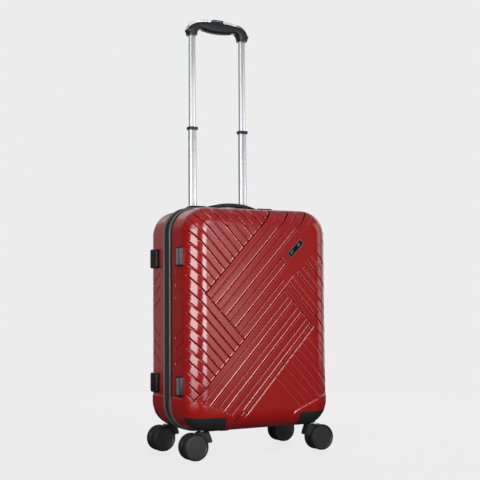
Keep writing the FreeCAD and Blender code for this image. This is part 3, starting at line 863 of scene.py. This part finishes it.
def rimPath(grow):
    # points round the case at its rim, moved outwards by grow; starts half-way up the -X side and climbs
    x, z, r = case["rim"] + grow, case["halfHigh"] + grow, case["rimCorner"] + grow
    points = []
    for cx, cz, start in ((-1, 1, 180), (1, 1, 90), (1, -1, 0), (-1, -1, -90)):
        bends = math.ceil(r * math.pi / 2 / rimStep)
        for i in range(bends + 1):
            a = math.radians(start - 90 * i / bends)
            points.append((cx * (x - r) + r * math.cos(a), cz * (z - r) + r * math.sin(a)))
    points.append(points[0])
    filled = []
    for (x0, z0), (x1, z1) in zip(points, points[1:]):
        count = max(1, round(math.hypot(x1 - x0, z1 - z0) / rimStep))
        filled += [(x0 + (x1 - x0) * i / count, z0 + (z1 - z0) * i / count) for i in range(count)]
    return [Vector((px, 0, pz + case["middle"])) for px, pz in filled]


def openPath(grow):
    # the same, without the stretch on the -X side that the hinge cloth covers
    low, high = cad("hinge_fabric")

    def inGap(p):
        return p.x < -case["rim"] and low.z - 0.5 < p.z < high.z + 0.5

    path = rimPath(grow)
    first = max(i for i, p in enumerate(path) if inGap(p)) + 1
    return [p for p in path[first:] + path[:first] if not inGap(p)]


def evenly(path, pitch):
    # walks along the path; gives places and directions a fixed distance apart
    co = np.array([p[:] for p in path])
    run = np.concatenate([[0], np.cumsum(np.linalg.norm(np.diff(co, axis=0), axis=1))])
    count = int(run[-1] / pitch)
    at = np.linspace(0, run[-1], count + 1)
    places = np.stack([np.interp(at, run, co[:, i]) for i in range(3)], axis=1)
    heading = np.gradient(places, axis=0)
    heading /= np.linalg.norm(heading, axis=1)[:, None]
    return places, heading


def tube(work, points, radius, sides):
    points = [Vector(p) for p in points]
    side = None
    rings = []
    for i, p in enumerate(points):
        along = (points[min(i + 1, len(points) - 1)] - points[max(i - 1, 0)]).normalized()
        side = (side - along * side.dot(along)).normalized() if side else along.orthogonal().normalized()
        up = along.cross(side)
        rings.append([p + radius * (side * math.cos(a) + up * math.sin(a)) for a in circle(sides)])
    loft(work, rings)


zipper = dict(grow=3.1, high=0.85, wide=1.2, thread=0.38, pitch=2.1, perTurn=8, centre=1.5)
# painted shadow beside the piping: near and far Y of the dark strip on each shell, and how proud it stands
pipingShadow = dict(front=(-17.6, -22.6), rear=(17.6, 19.8), proud=0.6)


def rimShadowStrip(end, body):
    # painted shadow: a dark strip round the edge of the shell beside the piping, wider on the front shell
    # than on the rear
    near, far = pipingShadow[end]
    proud = pipingShadow["proud"]
    work = bmesh.new()
    section = ((-0.5, near), (proud, near), (proud, (near + far) / 2), (proud * 0.3, far), (-0.6, far))
    loft(work, [[Vector((p.x, y, p.z)) for p in rimPath(grow)] for grow, y in section], closed=True)
    piece(f"{end}RimShadowStrip", work, pipingShadowBlack, body, sharp=40)


rimShadowStrip("front", "front_case")
rimShadowStrip("rear", "rear_case")


def zipCoil(name, sign, body, node):
    z = zipper
    places, heading = evenly(openPath(z["grow"]), z["pitch"] / z["perTurn"])
    outwards = np.cross(np.array([0, 1, 0]), heading)
    turn = np.arange(len(places)) * 2 * math.pi / z["perTurn"] + (math.pi if sign > 0 else 0)
    across = np.array([0, 1, 0]) * (np.cos(turn) * z["wide"] * sign + z["centre"] * sign)[:, None]
    points = places + across + outwards * (np.sin(turn) * z["high"])[:, None]
    work = bmesh.new()
    tube(work, points, z["thread"], 5)
    piece(name, work, coilNylon, body, (node,), sharp=80)


zipCoil("zipCoilRear", 1, "rear_case", "rear_zip_coil")
zipCoil("zipCoilFront", -1, "front_case", "front_zip_coil")


stitching = dict(pitch=3.4, length=2.3, thick=0.36, grow=2.05, rowFromMiddle=10.9)


def stitchRow(name, sign, body):
    st = stitching
    places, heading = evenly(openPath(st["grow"]), st["pitch"])
    work = bmesh.new()
    for place, way in zip(places[1:-1], heading[1:-1]):
        centre = Vector(place) + Vector((0, sign * st["rowFromMiddle"], 0))
        way = Vector(way)
        out = Vector((0, 1, 0)).cross(way)
        tube(work, [centre + way * st["length"] * u + out * st["thick"] * (0.45 - 3.2 * u * u)
                    for u in (-0.5, -0.25, 0, 0.25, 0.5)], st["thick"], 5)
    piece(name, work, threadGrey, body, sharp=80)


stitchRow("stitchesRear", 1, "rear_case")
stitchRow("stitchesFront", -1, "front_case")


hingeShape = dict(
    thick=0.9, swell=0.9, rows=90, columns=16, hem=1.1, bend=9.0,
    crease=0.35, creaseWide=0.07, seam=0.35, seamAt=0.93, seamWide=0.05,
    pucker=0.10, puckerLong=6.1, fine=0.05, fineLong=2.3,
)


def hingeStrip():
    h = hingeShape
    low, high = cad("hinge_fabric")
    middleX = (low.x + high.x) / 2
    work = bmesh.new()
    rings = []
    for i in range(h["rows"] + 1):
        z = low.z + (high.z - low.z) * (i / h["rows"])
        outer, inner = [], []
        for j in range(h["columns"] + 1):
            u = -1 + 2 * j / h["columns"]
            y = (low.y + high.y) / 2 + u * (high.y - low.y) / 2
            crease = -h["crease"] * math.exp(-(u / h["creaseWide"]) ** 2)
            roll = h["swell"] * (1 - u * u) * 0.5 + crease
            roll += (h["pucker"] * math.sin(z / h["puckerLong"] + 2 * u) * (1 - abs(u))
                     + h["fine"] * math.sin(z / h["fineLong"]))
            hem = h["seam"] * math.exp(-((abs(u) - h["seamAt"]) / h["seamWide"]) ** 2)
            outer.append((middleX - h["thick"] / 2 - roll - hem, y, z))
            inner.append((middleX + h["thick"] / 2 - roll * 0.7, y, z))
        rings.append(outer + inner[::-1])
    loft(work, rings)
    strip = piece("hingeCloth", work, hingeCloth, None, ("hinge_fabric",), sharp=70)
    x, z, bend = middleX * mm, (low.z + high.z) / 2 * mm, h["bend"] * mm
    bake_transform(strip)


hingeStrip()
print("band, zip and hinge cloth")


# inside

lining = dict(
    gap=10.0, thick=0.8, step=6.5, ripple=0.5, waves=(17, 41, 23, 37), fineWaves=(9.5, 13),
    sewnRim=12.0, easeX=120.0, easeZ=180.0, overTubes=16.0, clearOfBezel=8.0, bezelLip=4.0,
)


def clearBezel(work):
    # the rear lining leaves a window round the trolley's bezel
    low, high = cad("trolley_bezel")
    room, lip = lining["clearOfBezel"], lining["bezelLip"]
    sides = ((high.x + room, 0, 0), (-high.x - room, 0, 0), (0, low.y - lip, 0), (0, 0, low.z - room))
    for place, normal in zip(sides, ((1, 0, 0), (1, 0, 0), (0, 1, 0), (0, 0, 1))):
        bmesh.ops.bisect_plane(work, geom=work.verts[:] + work.edges[:] + work.faces[:], dist=0.01,
                               plane_co=place, plane_no=normal)
    inside = []
    for face in work.faces:
        at = face.calc_center_median()
        if abs(at.x) < high.x + room and at.y > low.y - lip and at.z > low.z - room:
            inside.append(face)
    bmesh.ops.delete(work, geom=inside, context="FACES")


def makeLining(name, half, body, node):
    # cloth that follows the inside of the shell, a little loose over its roundings
    c = lining
    work = innerSkin(half, c["gap"], c["step"])
    trimRim(work, half)
    longX, bendZ, longZ, bendX = c["waves"]
    rising, falling = c["fineWaves"]
    for v in work.verts:
        x, y, z = v.co
        wave = (math.sin(x / longX + 1.7 * math.sin(z / bendZ))
                * math.sin(z / longZ + 1.1 * math.sin(x / bendX)))
        wave += 0.5 * math.sin((x + z) / rising) * math.sin((x - z) / falling)
        loose = c["ripple"] * min(1.0, abs(y - half.rimY) / c["sewnRim"])
        if abs(y - half.faceY) < c["gap"] + 1.5:
            v.co.y += -half.sign * (0.5 + 0.5 * wave) * loose
        else:
            fromMiddle = z - case["middle"]
            v.co.x -= math.copysign((0.5 + 0.5 * wave) * loose, x) * min(1, abs(x) / c["easeX"])
            v.co.z -= (math.copysign((0.5 + 0.5 * wave) * loose, fromMiddle)
                       * min(1, abs(fromMiddle) / c["easeZ"]))
    if node == "rear_lining":
        clearBezel(work)
    skin = work.faces[:]
    bmesh.ops.recalc_face_normals(work, faces=skin)
    bmesh.ops.solidify(work, geom=skin, thickness=c["thick"])
    sheet = piece(name, work, liningCloth, body, (node,), sharp=70)


makeLining("liningFront", frontHalf, "front_case", "front_lining")
# the rear lining hangs in front of the trolley's tubes
tubesSide = HalfShell(rearHigh.y - lining["overTubes"], rearLow.y, True)
makeLining("liningRear", tubesSide, "rear_case", "rear_lining")


packing = dict(
    thick=1.1, wave=0.25, count=60, sewn=16.0, webWide=0.96, stitch=0.3, sewnBehind=1.55,
    buckle=34.0, buckleLow=0.9, buckleHigh=5.4, bodyHalf=13.0, neckHalf=10.0, endHalf=8.5,
    tongueAt=9.5, tongueHalf=2.2, tongue=(4.6, 6.0),
)


def packingStrap():
    c = packing
    low, high = cad("packing_strap")
    middleZ, wide = (low.z + high.z) / 2, (high.z - low.z) * c["webWide"]
    backY = high.y + 0.2
    for name, side in (("packingStrapLeft", -1), ("packingStrapRight", 1)):
        work = bmesh.new()
        rings = []
        for i in range(c["count"] + 1):
            x = side * (high.x - (high.x - c["buckle"] * 0.4) * i / c["count"])
            y = backY - c["wave"] * (1 + math.sin(x / 11 + side)) - 0.5
            rings.append([(x, y + dy, middleZ + dz) for dy, dz in softRectangle(c["thick"], wide, 0.35, 2)])
        loft(work, rings)
        standsFor = ("packing_strap",) if side < 0 else ()
        piece(name, work, webCloth, "rear_case", standsFor, sharp=60)
    work = bmesh.new()
    y = backY - c["sewnBehind"]
    for side in (-1, 1):
        seams = [[(high.x - 2 - d, middleZ + (-0.36 + 0.24 * k) * wide)
                  for d in (0, c["sewn"] / 2, c["sewn"])] for k in range(4)]
        seams += [[(high.x - d, middleZ + u * wide) for u in (-0.36, 0, 0.36)] for d in (2, 2 + c["sewn"])]
        for seam in seams:
            tube(work, [(side * x, y, z) for x, z in seam], c["stitch"], 5)
    piece("packingStitches", work, threadGrey, "rear_case", sharp=80)
    work = bmesh.new()
    half, neck = c["buckle"] / 2, c["buckle"] / 2 * 0.35
    upper = [(half, c["endHalf"]), (neck, c["neckHalf"]), (neck, c["bodyHalf"]), (-half, c["bodyHalf"])]
    body = [(x, -z) for x, z in upper[::-1]] + upper
    loft(work, [[(x, backY - out, middleZ + z) for x, z in body]
                for out in (c["buckleLow"], c["buckleHigh"])])
    soften(piece("packingBuckle", work, handleBlack, "rear_case"), 1.0, 3)
    work = bmesh.new()
    for z in (middleZ - c["tongueAt"], middleZ + c["tongueAt"]):
        block(work, (half * 0.1, backY - c["tongue"][1], z - c["tongueHalf"]),
              (half * 0.9, backY - c["tongue"][0], z + c["tongueHalf"]), 0.6)
    piece("packingBuckleTongues", work, mouldingBlack, "rear_case")


packingStrap()
print("lining and packing strap")


# trolley

def fluted(wide, deep, corner, flute, sunk, inset=0.0):
    # outline of a flattened tube with a groove along its front and its back
    w, d, r = wide / 2 - inset, deep / 2 - inset, max(corner - inset, 0.8)
    f, g = flute / 2 + inset * 0.5, sunk
    points = []
    for quarter in range(4):
        sx, sy = ((1, 1), (-1, 1), (-1, -1), (1, -1))[quarter]
        turn = [math.radians(90 * (quarter + k / 6)) for k in range(7)]
        bend = [(sx * (w - r) + r * math.cos(a), sy * (d - r) + r * math.sin(a)) for a in turn]
        dip = [(sx * (f + 0.5), sy * d), (sx * f, sy * (d - g * 0.35)),
               (sx * (f - 0.4), sy * (d - g)), (sx * f * 0.4, sy * (d - g))]
        points += bend + dip if quarter in (0, 2) else dip[::-1] + bend
    return points


tubes = dict(axis=68.5, wall=1.2, corner=4.6, flute=6.4, sunk=0.7, mouth=0.5)


def tubePair(name, node, body, size):
    t = tubes
    low, high = cad(node)
    middleY, deep, wide = (low.y + high.y) / 2, high.y - low.y, 2 * (high.x - t["axis"])
    shape = (t["corner"] * size, t["flute"] * size, t["sunk"])
    outline, inside = fluted(wide, deep, *shape), fluted(wide, deep, *shape, t["wall"])
    eased = fluted(wide - t["mouth"], deep - t["mouth"], *shape)
    sections = ((eased, low.z), (outline, low.z + t["mouth"]), (outline, high.z - t["mouth"]),
                (eased, high.z), (inside, high.z), (inside, low.z))
    work = bmesh.new()
    for side in (-1, 1):
        loft(work, [[(side * t["axis"] + x, middleY + y, z) for x, y in section] for section, z in sections],
             closed=True)
    piece(name, work, tubeSilver, body, (node,), sharp=28)


tubePair("tubesMiddle", "middle_tubes", "middle_stage", 1.0)
tubePair("tubesInner", "inner_tubes", "inner_stage", 0.85)


def curved(points, perSpan):
    # Catmull-Rom curve through given points
    co = [np.array(p, float) for p in points]
    result = []
    for i in range(len(co) - 1):
        p0, p1, p2, p3 = co[max(i - 1, 0)], co[i], co[i + 1], co[min(i + 2, len(co) - 1)]
        for k in range(perSpan):
            u = k / perSpan
            result.append(0.5 * (2 * p1 + (p2 - p0) * u + (2 * p0 - 5 * p1 + 4 * p2 - p3) * u * u
                                 + (3 * p1 - p0 - 3 * p2 + p3) * u ** 3))
    return result + [co[-1]]


gripShape = dict(
    # right half of the arch: its outside from the leg's foot to the top, and its underside, from the middle
    outside=((80.5, 985), (80.8, 991), (79.6, 997), (78.0, 1002.5), (74.5, 1007.6), (67.5, 1013),
             (57, 1017.3), (44, 1020.3), (24, 1022.3), (0, 1023)),
    underside=((0, 997), (16, 997.8), (31, 999.8), (44, 1001.8), (50, 1001.2), (54, 998.5), (57, 993),
               (58.5, 985)),
    round=6.5, steps=5, drawnIn=0.82, apart=0.4, legAxis=69.0,
    collarAxis=69.5, collarLean=0.17, ridges=range(-36, 37, 6), ridgeRadius=0.9,
    # width, depth, height and corner of the flared collar's rings
    collar=((17, 14, 985, 4), (19.6, 17, 985, 4.5), (20.6, 18.4, 985.8, 5), (24.0, 23.6, 991.5, 6),
            (26.6, 27.6, 996.4, 7), (26.4, 27.4, 997.3, 7), (24.4, 25.4, 997.9, 6.5)),
)


def makeGrip():
    g = gripShape
    low, high = cad("grip")
    middleY, half = (low.y + high.y) / 2, (high.y - low.y) / 2
    outside, underside = curved(g["outside"], 4), curved(g["underside"], 4)

    def mirror(points):
        return [p * (-1, 1) for p in points[::-1]]

    outline = outside + mirror(outside)[1:] + mirror(underside) + underside[1:]
    co = np.array([p for p, q in zip(outline, outline[1:] + outline[:1])
                   if np.linalg.norm(p - q) > g["apart"]])
    ahead, behind = np.roll(co, -1, axis=0) - co, co - np.roll(co, 1, axis=0)
    ahead /= np.linalg.norm(ahead, axis=1)[:, None]
    behind /= np.linalg.norm(behind, axis=1)[:, None]
    normal = np.stack([(ahead + behind)[:, 1], -(ahead + behind)[:, 0]], axis=1)
    normal /= np.linalg.norm(normal, axis=1)[:, None]
    # the legs' feet stay flat: nothing is drawn in from below them
    foot = co[:, 1] < g["outside"][0][1] + 0.01
    normal[foot, 1] = 0
    normal[foot, 0] = np.sign(np.abs(co[foot, 0]) - g["legAxis"]) * np.sign(co[foot, 0])
    area = np.sum(co[:, 0] * np.roll(co[:, 1], -1) - np.roll(co[:, 0], -1) * co[:, 1])
    if area < 0:
        normal[~foot] *= -1
    rings = []
    for k in range(-g["steps"], g["steps"] + 1):
        a = math.pi / 2 * k / g["steps"]
        y = (half - g["round"]) * np.sign(k) + g["round"] * math.sin(a) if k else 0
        ring = co - normal * (g["round"] * g["drawnIn"] * (1 - math.cos(a)))
        rings.append([(x, middleY + y, z) for x, z in ring])
    work = bmesh.new()
    rows = loft(work, rings, caps=False)
    for row in (rows[0], rows[-1]):
        edges = [work.edges.get((row[i], row[(i + 1) % len(row)])) for i in range(len(row))]
        bmesh.ops.triangle_fill(work, edges=edges, use_beauty=True)
    piece("gripBody", work, gripBlack, "inner_stage", ("grip",), sharp=50)
    # collars round the tops of the tubes
    work = bmesh.new()
    for side in (-1, 1):
        loft(work, [[(side * (g["collarAxis"] + (w - 19) * g["collarLean"]) + x, middleY + y, z)
                     for x, y in softRectangle(w, d, r, 6)] for w, d, z, r in g["collar"]])
    piece("gripCollars", work, gripBlack, "inner_stage", sharp=40)
    # finger ridges under the arch
    work = bmesh.new()
    for x in g["ridges"]:
        z = g["underside"][0][1] + 4.8 * (x / 44) ** 2 - 0.1
        tube(work, [(x, middleY + y, z + 0.35 * (y / 8) ** 2) for y in (-7, -3.5, 0, 3.5, 7)],
             g["ridgeRadius"], 8)
    piece("gripRidges", work, gripBlack, "inner_stage", sharp=80)


makeGrip()


# spring pins, nearly flush so that they pass into the outer tubes
rivet = dict(
    heights=(747, 736, 704), radius=1.5,
    # (standing out, share of the radius)
    section=((-0.4, 1.0), (0.05, 1.0), (0.1, 0.8), (0.1, 0.4), (-0.1, 0.25)),
)


def makeRivets():
    low, high = cad("middle_tubes")
    work = bmesh.new()
    for z in rivet["heights"]:
        for side in (-1, 1):
            rings = []
            for out, share in rivet["section"]:
                r = rivet["radius"] * share
                rings.append([(side * high.x + side * out, (low.y + high.y) / 2 + r * math.cos(a),
                               z + r * math.sin(a)) for a in circle(20)])
            loft(work, rings)
    piece("tubeRivets", work, steelGrey, "middle_stage", sharp=35)


makeRivets()
print("trolley")


# handles and feet

carryShape = dict(
    archHalf=70.0,             # the strap arches this far from its middle, then lies flat in its mounts
    ribPitch=5.5, ribHigh=0.3, ribHalf=27.0, ribWide=0.36, waist=0.86, count=80,
    swellEnds=30.0, waistEnds=36.0, over=24.0,
    mountLong=45.0, mountCorner=8.0, mountIn=25.5,
    # (drawn in, share of the height) up the mount's edge
    mountEdge=((0, 0.35), (0.5, 0.62), (1.6, 0.84), (3.4, 0.96), (6.0, 1.0)),
    # (share of the radius, height) over the screw's head
    screwHead=((1, -0.9), (1, 0.1), (0.8, 0.35), (0.42, 0.35), (0.34, -0.25), (0.05, -0.3)),
    screwRadius=2.6, screwAlong=13.0, screwAcross=0.2,
)


def carryHandle(name, nodes, toWorld, half, foot, arch, thick, width, mountWide, mountHigh, swell):
    # drawn along its own length u, across v and standing off the case by w; toWorld turns it into place
    c = carryShape
    work = bmesh.new()
    rings = []
    for i in range(c["count"] + 1):
        u = -half + 2 * half * i / c["count"]
        share = min(1.0, abs(u) / c["archHalf"])
        swollen, waisted = (1 - float(smooth((abs(u) - ends) / c["over"]))
                            for ends in (c["swellEnds"], c["waistEnds"]))
        grown = thick * (1 + swell * swollen)
        lift = foot + arch * (1 - share * share) + thick - grown / 2
        wide = width * (c["waist"] + (1 - c["waist"]) * waisted)
        ridge = c["ribHigh"] * abs(math.cos(u * math.pi / c["ribPitch"])) if abs(u) < c["ribHalf"] else 0
        rings.append([toWorld(u, a, lift + b + (ridge if b > 0 and abs(a) < wide * c["ribWide"] else 0))
                      for a, b in softRectangle(wide, grown, min(grown / 2 - 0.05, 2.4), 4)])
    loft(work, rings)
    piece(name + "Strap", work, rubberBlack, "rear_case", (nodes[0],), sharp=50)
    work, screws = bmesh.new(), bmesh.new()
    for side in (-1, 1):
        middle = side * (half + c["mountLong"] / 2 - c["mountIn"])
        levels = [(0, -3)] + [(draw, share * mountHigh) for draw, share in c["mountEdge"]]
        loft(work, [[toWorld(middle + a, b, w) for a, b in
                     softRectangle(c["mountLong"] - 2 * draw, mountWide - 2 * draw,
                                   max(c["mountCorner"] - draw, 1.5), 6)] for draw, w in levels])
        for across in (-1, 1):
            u, v = middle + side * c["screwAlong"], across * mountWide * c["screwAcross"]
            r = c["screwRadius"]
            loft(screws, [[toWorld(u + q * r * math.cos(a), v + q * r * math.sin(a), mountHigh + h)
                           for a in circle(20)] for q, h in c["screwHead"]])
    piece(name + "Mounts", work, handleBlack, "rear_case", (nodes[1],), sharp=40)
    piece(name + "Screws", screws, steelGrey, "rear_case", sharp=30)


strapLow, strapHigh = cad("top_handle_strap")
mountLow, mountHigh = cad("top_handle_mounts")
topY, topZ = (strapLow.y + strapHigh.y) / 2, case["top"]
carryHandle("topHandle", ("top_handle_strap", "top_handle_mounts"), lambda u, v, w: (u, topY + v, topZ + w),
            half=strapHigh.x, foot=strapLow.z - topZ, arch=12.0, thick=strapHigh.z - strapLow.z - 12.0,
            width=strapHigh.y - strapLow.y, mountWide=mountHigh.y - mountLow.y,
            mountHigh=mountHigh.z - topZ, swell=0.95)
strapLow, strapHigh = cad("side_handle_strap")
mountLow, mountHigh = cad("side_handle_mounts")
sideY, sideZ = (strapLow.y + strapHigh.y) / 2, (strapLow.z + strapHigh.z) / 2
sideX = case["rim"] - 0.8      # the wall leans in a little under the handle
carryHandle("sideHandle", ("side_handle_strap", "side_handle_mounts"),
            lambda u, v, w: (sideX + w, sideY + v, sideZ + u),
            half=(strapHigh.z - strapLow.z) / 2, foot=strapLow.x - sideX, arch=4.0,
            thick=strapHigh.x - strapLow.x - 4.0, width=strapHigh.y - strapLow.y,
            mountWide=mountHigh.y - mountLow.y, mountHigh=mountHigh.x - sideX, swell=0.35)


foot = dict(
    setBack=dict(front=13.0, rear=0.0), tall=43.6, root=0.6, corner=4.5, rim=3.6, sunk=0.8, edge=1.4,
    padGap=0.35, padProud=0.55,
)


def makeFeet(end, body, padFinish):
    f = foot
    low, high = cad(f"{end}_feet")
    face, floor, proud = low.x, low.x + f["sunk"], f["padProud"]
    wide, y = high.y - low.y - f["setBack"][end], (low.y + high.y - f["setBack"][end]) / 2
    inset = f["rim"] + f["padGap"]
    work, pads = bmesh.new(), bmesh.new()
    for z in (low.z + f["tall"] / 2, high.z - f["tall"] / 2):
        # (place across the foot, drawn in)
        levels = ((high.x + f["root"], 0), (face + f["edge"], 0), (face + f["edge"] * 0.3, 0.45),
                  (face, 1.3), (face, f["rim"] - 0.4), (face + 0.3, f["rim"]), (floor, f["rim"] + 0.1))
        padLevels = ((floor + 0.2, inset), (floor - proud * 0.6, inset), (floor - proud, inset + 0.5),
                     (floor - proud - 0.15, inset + 5))
        for target, steps in ((work, levels), (pads, padLevels)):
            loft(target, [[(x, y + a, z + b) for a, b in
                           softRectangle(wide - 2 * draw, f["tall"] - 2 * draw,
                                         max(f["corner"] - draw * 0.6, 1.2), 6)] for x, draw in steps])
    piece(f"{end}FootBlocks", work, handleBlack, body, (f"{end}_feet",), sharp=40)
    piece(f"{end}FootPads", pads, padFinish, body, sharp=40)


# the front pads carry the painted reflection; the rear pads keep plain black rubber
makeFeet("front", "front_case", padPaintedReflection)
makeFeet("rear", "rear_case", rubberBlack)
print("handles and feet")


# casters

wheel = dict(
    # (radius, distance out from the caster's middle)
    tread=((26.4, 5.6), (26.7, 5.0), (27.6, 4.9), (28.4, 5.5), (28.9, 6.8), (29.1, 8.6), (29.2, 10.6),
           (28.9, 10.9), (28.9, 11.6), (29.2, 11.9), (29.1, 14.0), (28.9, 15.6), (28.4, 16.9), (27.6, 17.6),
           (26.7, 17.6), (26.4, 17.1)),
    disc=((0.02, 16.72), (8.0, 16.75), (14, 16.6), (21.8, 16.75), (22.3, 16.35), (23.0, 16.3),
          (23.6, 16.9), (24.4, 17.3), (25.0, 17.2), (25.4, 16.5), (25.9, 16.5), (26.3, 16.9), (26.4, 16.6),
          (26.4, 5.9), (25.4, 5.2), (21.6, 5.2), (21.0, 5.8), (20.6, 8.2), (10.2, 8.4), (9.4, 5.6),
          (8.6, 5.1), (3.1, 5.1), (3.1, 15.2), (0.02, 15.2)),
    spokes=7, spokeAt=(9.0, 13, 17, 21.2), spokeSection=((-0.9, 8.6), (0.9, 8.6), (0.7, 5.9), (-0.7, 5.9)),
)
casters = ("front_left", "front_right", "rear_left", "rear_right")


def makeWheels(caster):
    low, high = cad(caster + "_axle")
    centre = (low + high) / 2
    tread, disc = bmesh.new(), bmesh.new()
    for side in (-1, 1):
        turned(tread, [(r, side * w) for r, w in wheel["tread"]], centre, 96)
        turned(disc, [(r, side * w) for r, w in wheel["disc"]], centre, 80)
        # ribs between the disc's boss and its rim, on the side that faces the fork
        for a in circle(wheel["spokes"]):
            out, across = Vector((math.cos(a), 0, math.sin(a))), Vector((-math.sin(a), 0, math.cos(a)))
            loft(disc, [[centre + out * r + across * w + Vector((0, side * y, 0))
                         for w, y in wheel["spokeSection"]] for r in wheel["spokeAt"]])
    wheels = caster + "_wheels"
    piece(caster + "Tyres", tread, tyreBlack, wheels, (caster + "_tyres",), sharp=40)
    piece(caster + "Hubs", disc, hubGrey, wheels, (caster + "_hubs",), sharp=25)


stem = dict(
    # (radius, height)
    profile=((4.4, 50.5), (9.2, 50.5), (9.6, 51.5), (9.6, 56.2), (14.5, 57.2), (15.2, 58.0), (15.2, 58.9),
             (14.6, 59.25), (4.4, 59.2)),
)


def makeStem(caster):
    # dust cap round the pin, on top of the fork
    end, side = caster.split("_")
    low, high = cad(end + "_kingpins")
    x, y = low.x + pinHead if side == "left" else high.x - pinHead, (low.y + high.y) / 2
    work = bmesh.new()
    upright(work, stem["profile"], x, y, 48, closed=True)
    piece(caster + "DustCap", work, mouldingBlack, caster + "_caster", sharp=35)


for caster in casters:
    makeWheels(caster)
    makeStem(caster)
print("casters")


# lock and badge

dial = dict(teeth=20, radius=6.2, groove=0.38, chamfer=0.45, perTooth=6)


def makeDial(number):
    node = f"lock_dial_{number}"
    low, high = cad(node)
    centre = (low + high) / 2
    work = bmesh.new()
    rings = []
    for z, draw in ((low.z, dial["chamfer"]), (low.z + dial["chamfer"], 0), (high.z - dial["chamfer"], 0),
                    (high.z, dial["chamfer"])):
        ring = []
        for a in circle(dial["teeth"] * dial["perTooth"]):
            r = dial["radius"] - draw - dial["groove"] * abs(math.sin(a * dial["teeth"] / 2)) ** 0.6
            ring.append((centre.x + r * math.cos(a), centre.y + r * math.sin(a), z))
        rings.append(ring)
    loft(work, rings)
    piece(f"lockDial{number}", work, trimSilver, f"dial_{number}", (node,), sharp=40)


for number in (1, 2, 3):
    makeDial(number)


badge = dict(turn=45.0, bars=((-15.5, 3.0), (-10.5, 3.0), (12.5, 6.5)), high=5.2, lean=1.6, proud=0.4)


def badgeMotif():
    # three plain slanted bars, as a neutral mark
    low, high = cad("badge_plate")
    middle = (low + high) / 2
    a, lean, tall = math.radians(badge["turn"]), badge["lean"], badge["high"] / 2
    face = low.y - badge["proud"]
    work = bmesh.new()
    for at, wide in badge["bars"]:
        rings = []
        corners = ((-wide / 2 - lean, -tall), (wide / 2 - lean, -tall),
                   (wide / 2 + lean, tall), (-wide / 2 + lean, tall))
        for y, draw in ((low.y + 0.2, 0), (face + 0.12, 0), (face, 0.15)):
            drawn = [(at + u * (1 - draw), v * (1 - draw)) for u, v in corners]
            rings.append([(middle.x + u * math.cos(a) - v * math.sin(a), y,
                           middle.z + u * math.sin(a) + v * math.cos(a)) for u, v in drawn])
        loft(work, rings)
    piece("badgeBars", work, badgeRim, "front_case", sharp=30)


badgeMotif()
print("lock and badge")


# CAD pieces that keep their shape

def dress(node, finish, bevel):
    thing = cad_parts[node]
    thing.data.materials.clear()
    thing.data.materials.append(finish)
    for polygon in thing.data.polygons:
        polygon.use_smooth = True
        polygon.material_index = 0
    thing.data.set_sharp_from_angle(angle=math.radians(softAngle))
    if bevel:
        soften(thing, bevel, 2)


kept = [
    (("rear_kingpins", "front_kingpins", "release_rods"), steelGrey, 0),
    (("trolley_bezel", "tube_bracket"), mouldingBlack, 0.4),
    (("middle_collars", "tube_latches"), mouldingBlack, 0.3),
    (("front_wheel_housings", "rear_wheel_housings"), mouldingBlack, 0.3),
    (("outer_tubes",), steelGrey, 0),
    (("grip_button",), gripBlack, 0),
    (("grip_trim",), trimSilver, 0),
    (("rear_zip_tape", "front_zip_tape"), tapeCloth, 0),
    (("rear_piping", "front_piping"), vinylGrey, 0),
    (("zip_slider_upper", "zip_slider_lower", "zip_pull_upper", "zip_pull_lower"), zipSteel, 0.2),
    (("lock_housing",), lockBlack, 0.5),
    (("lock_button",), lockBlack, 0.3),
    (("badge_bezel",), badgeRim, 0.25),
    (("badge_plate",), badgeBlack, 0),
]
for caster in casters:
    kept.append(((caster + "_fork",), mouldingBlack, 0.6))
    kept.append(((caster + "_axle",), steelGrey, 0))
for nodes, finish, bevel in kept:
    for node in nodes:
        dress(node, finish, bevel)
print("CAD pieces dressed")
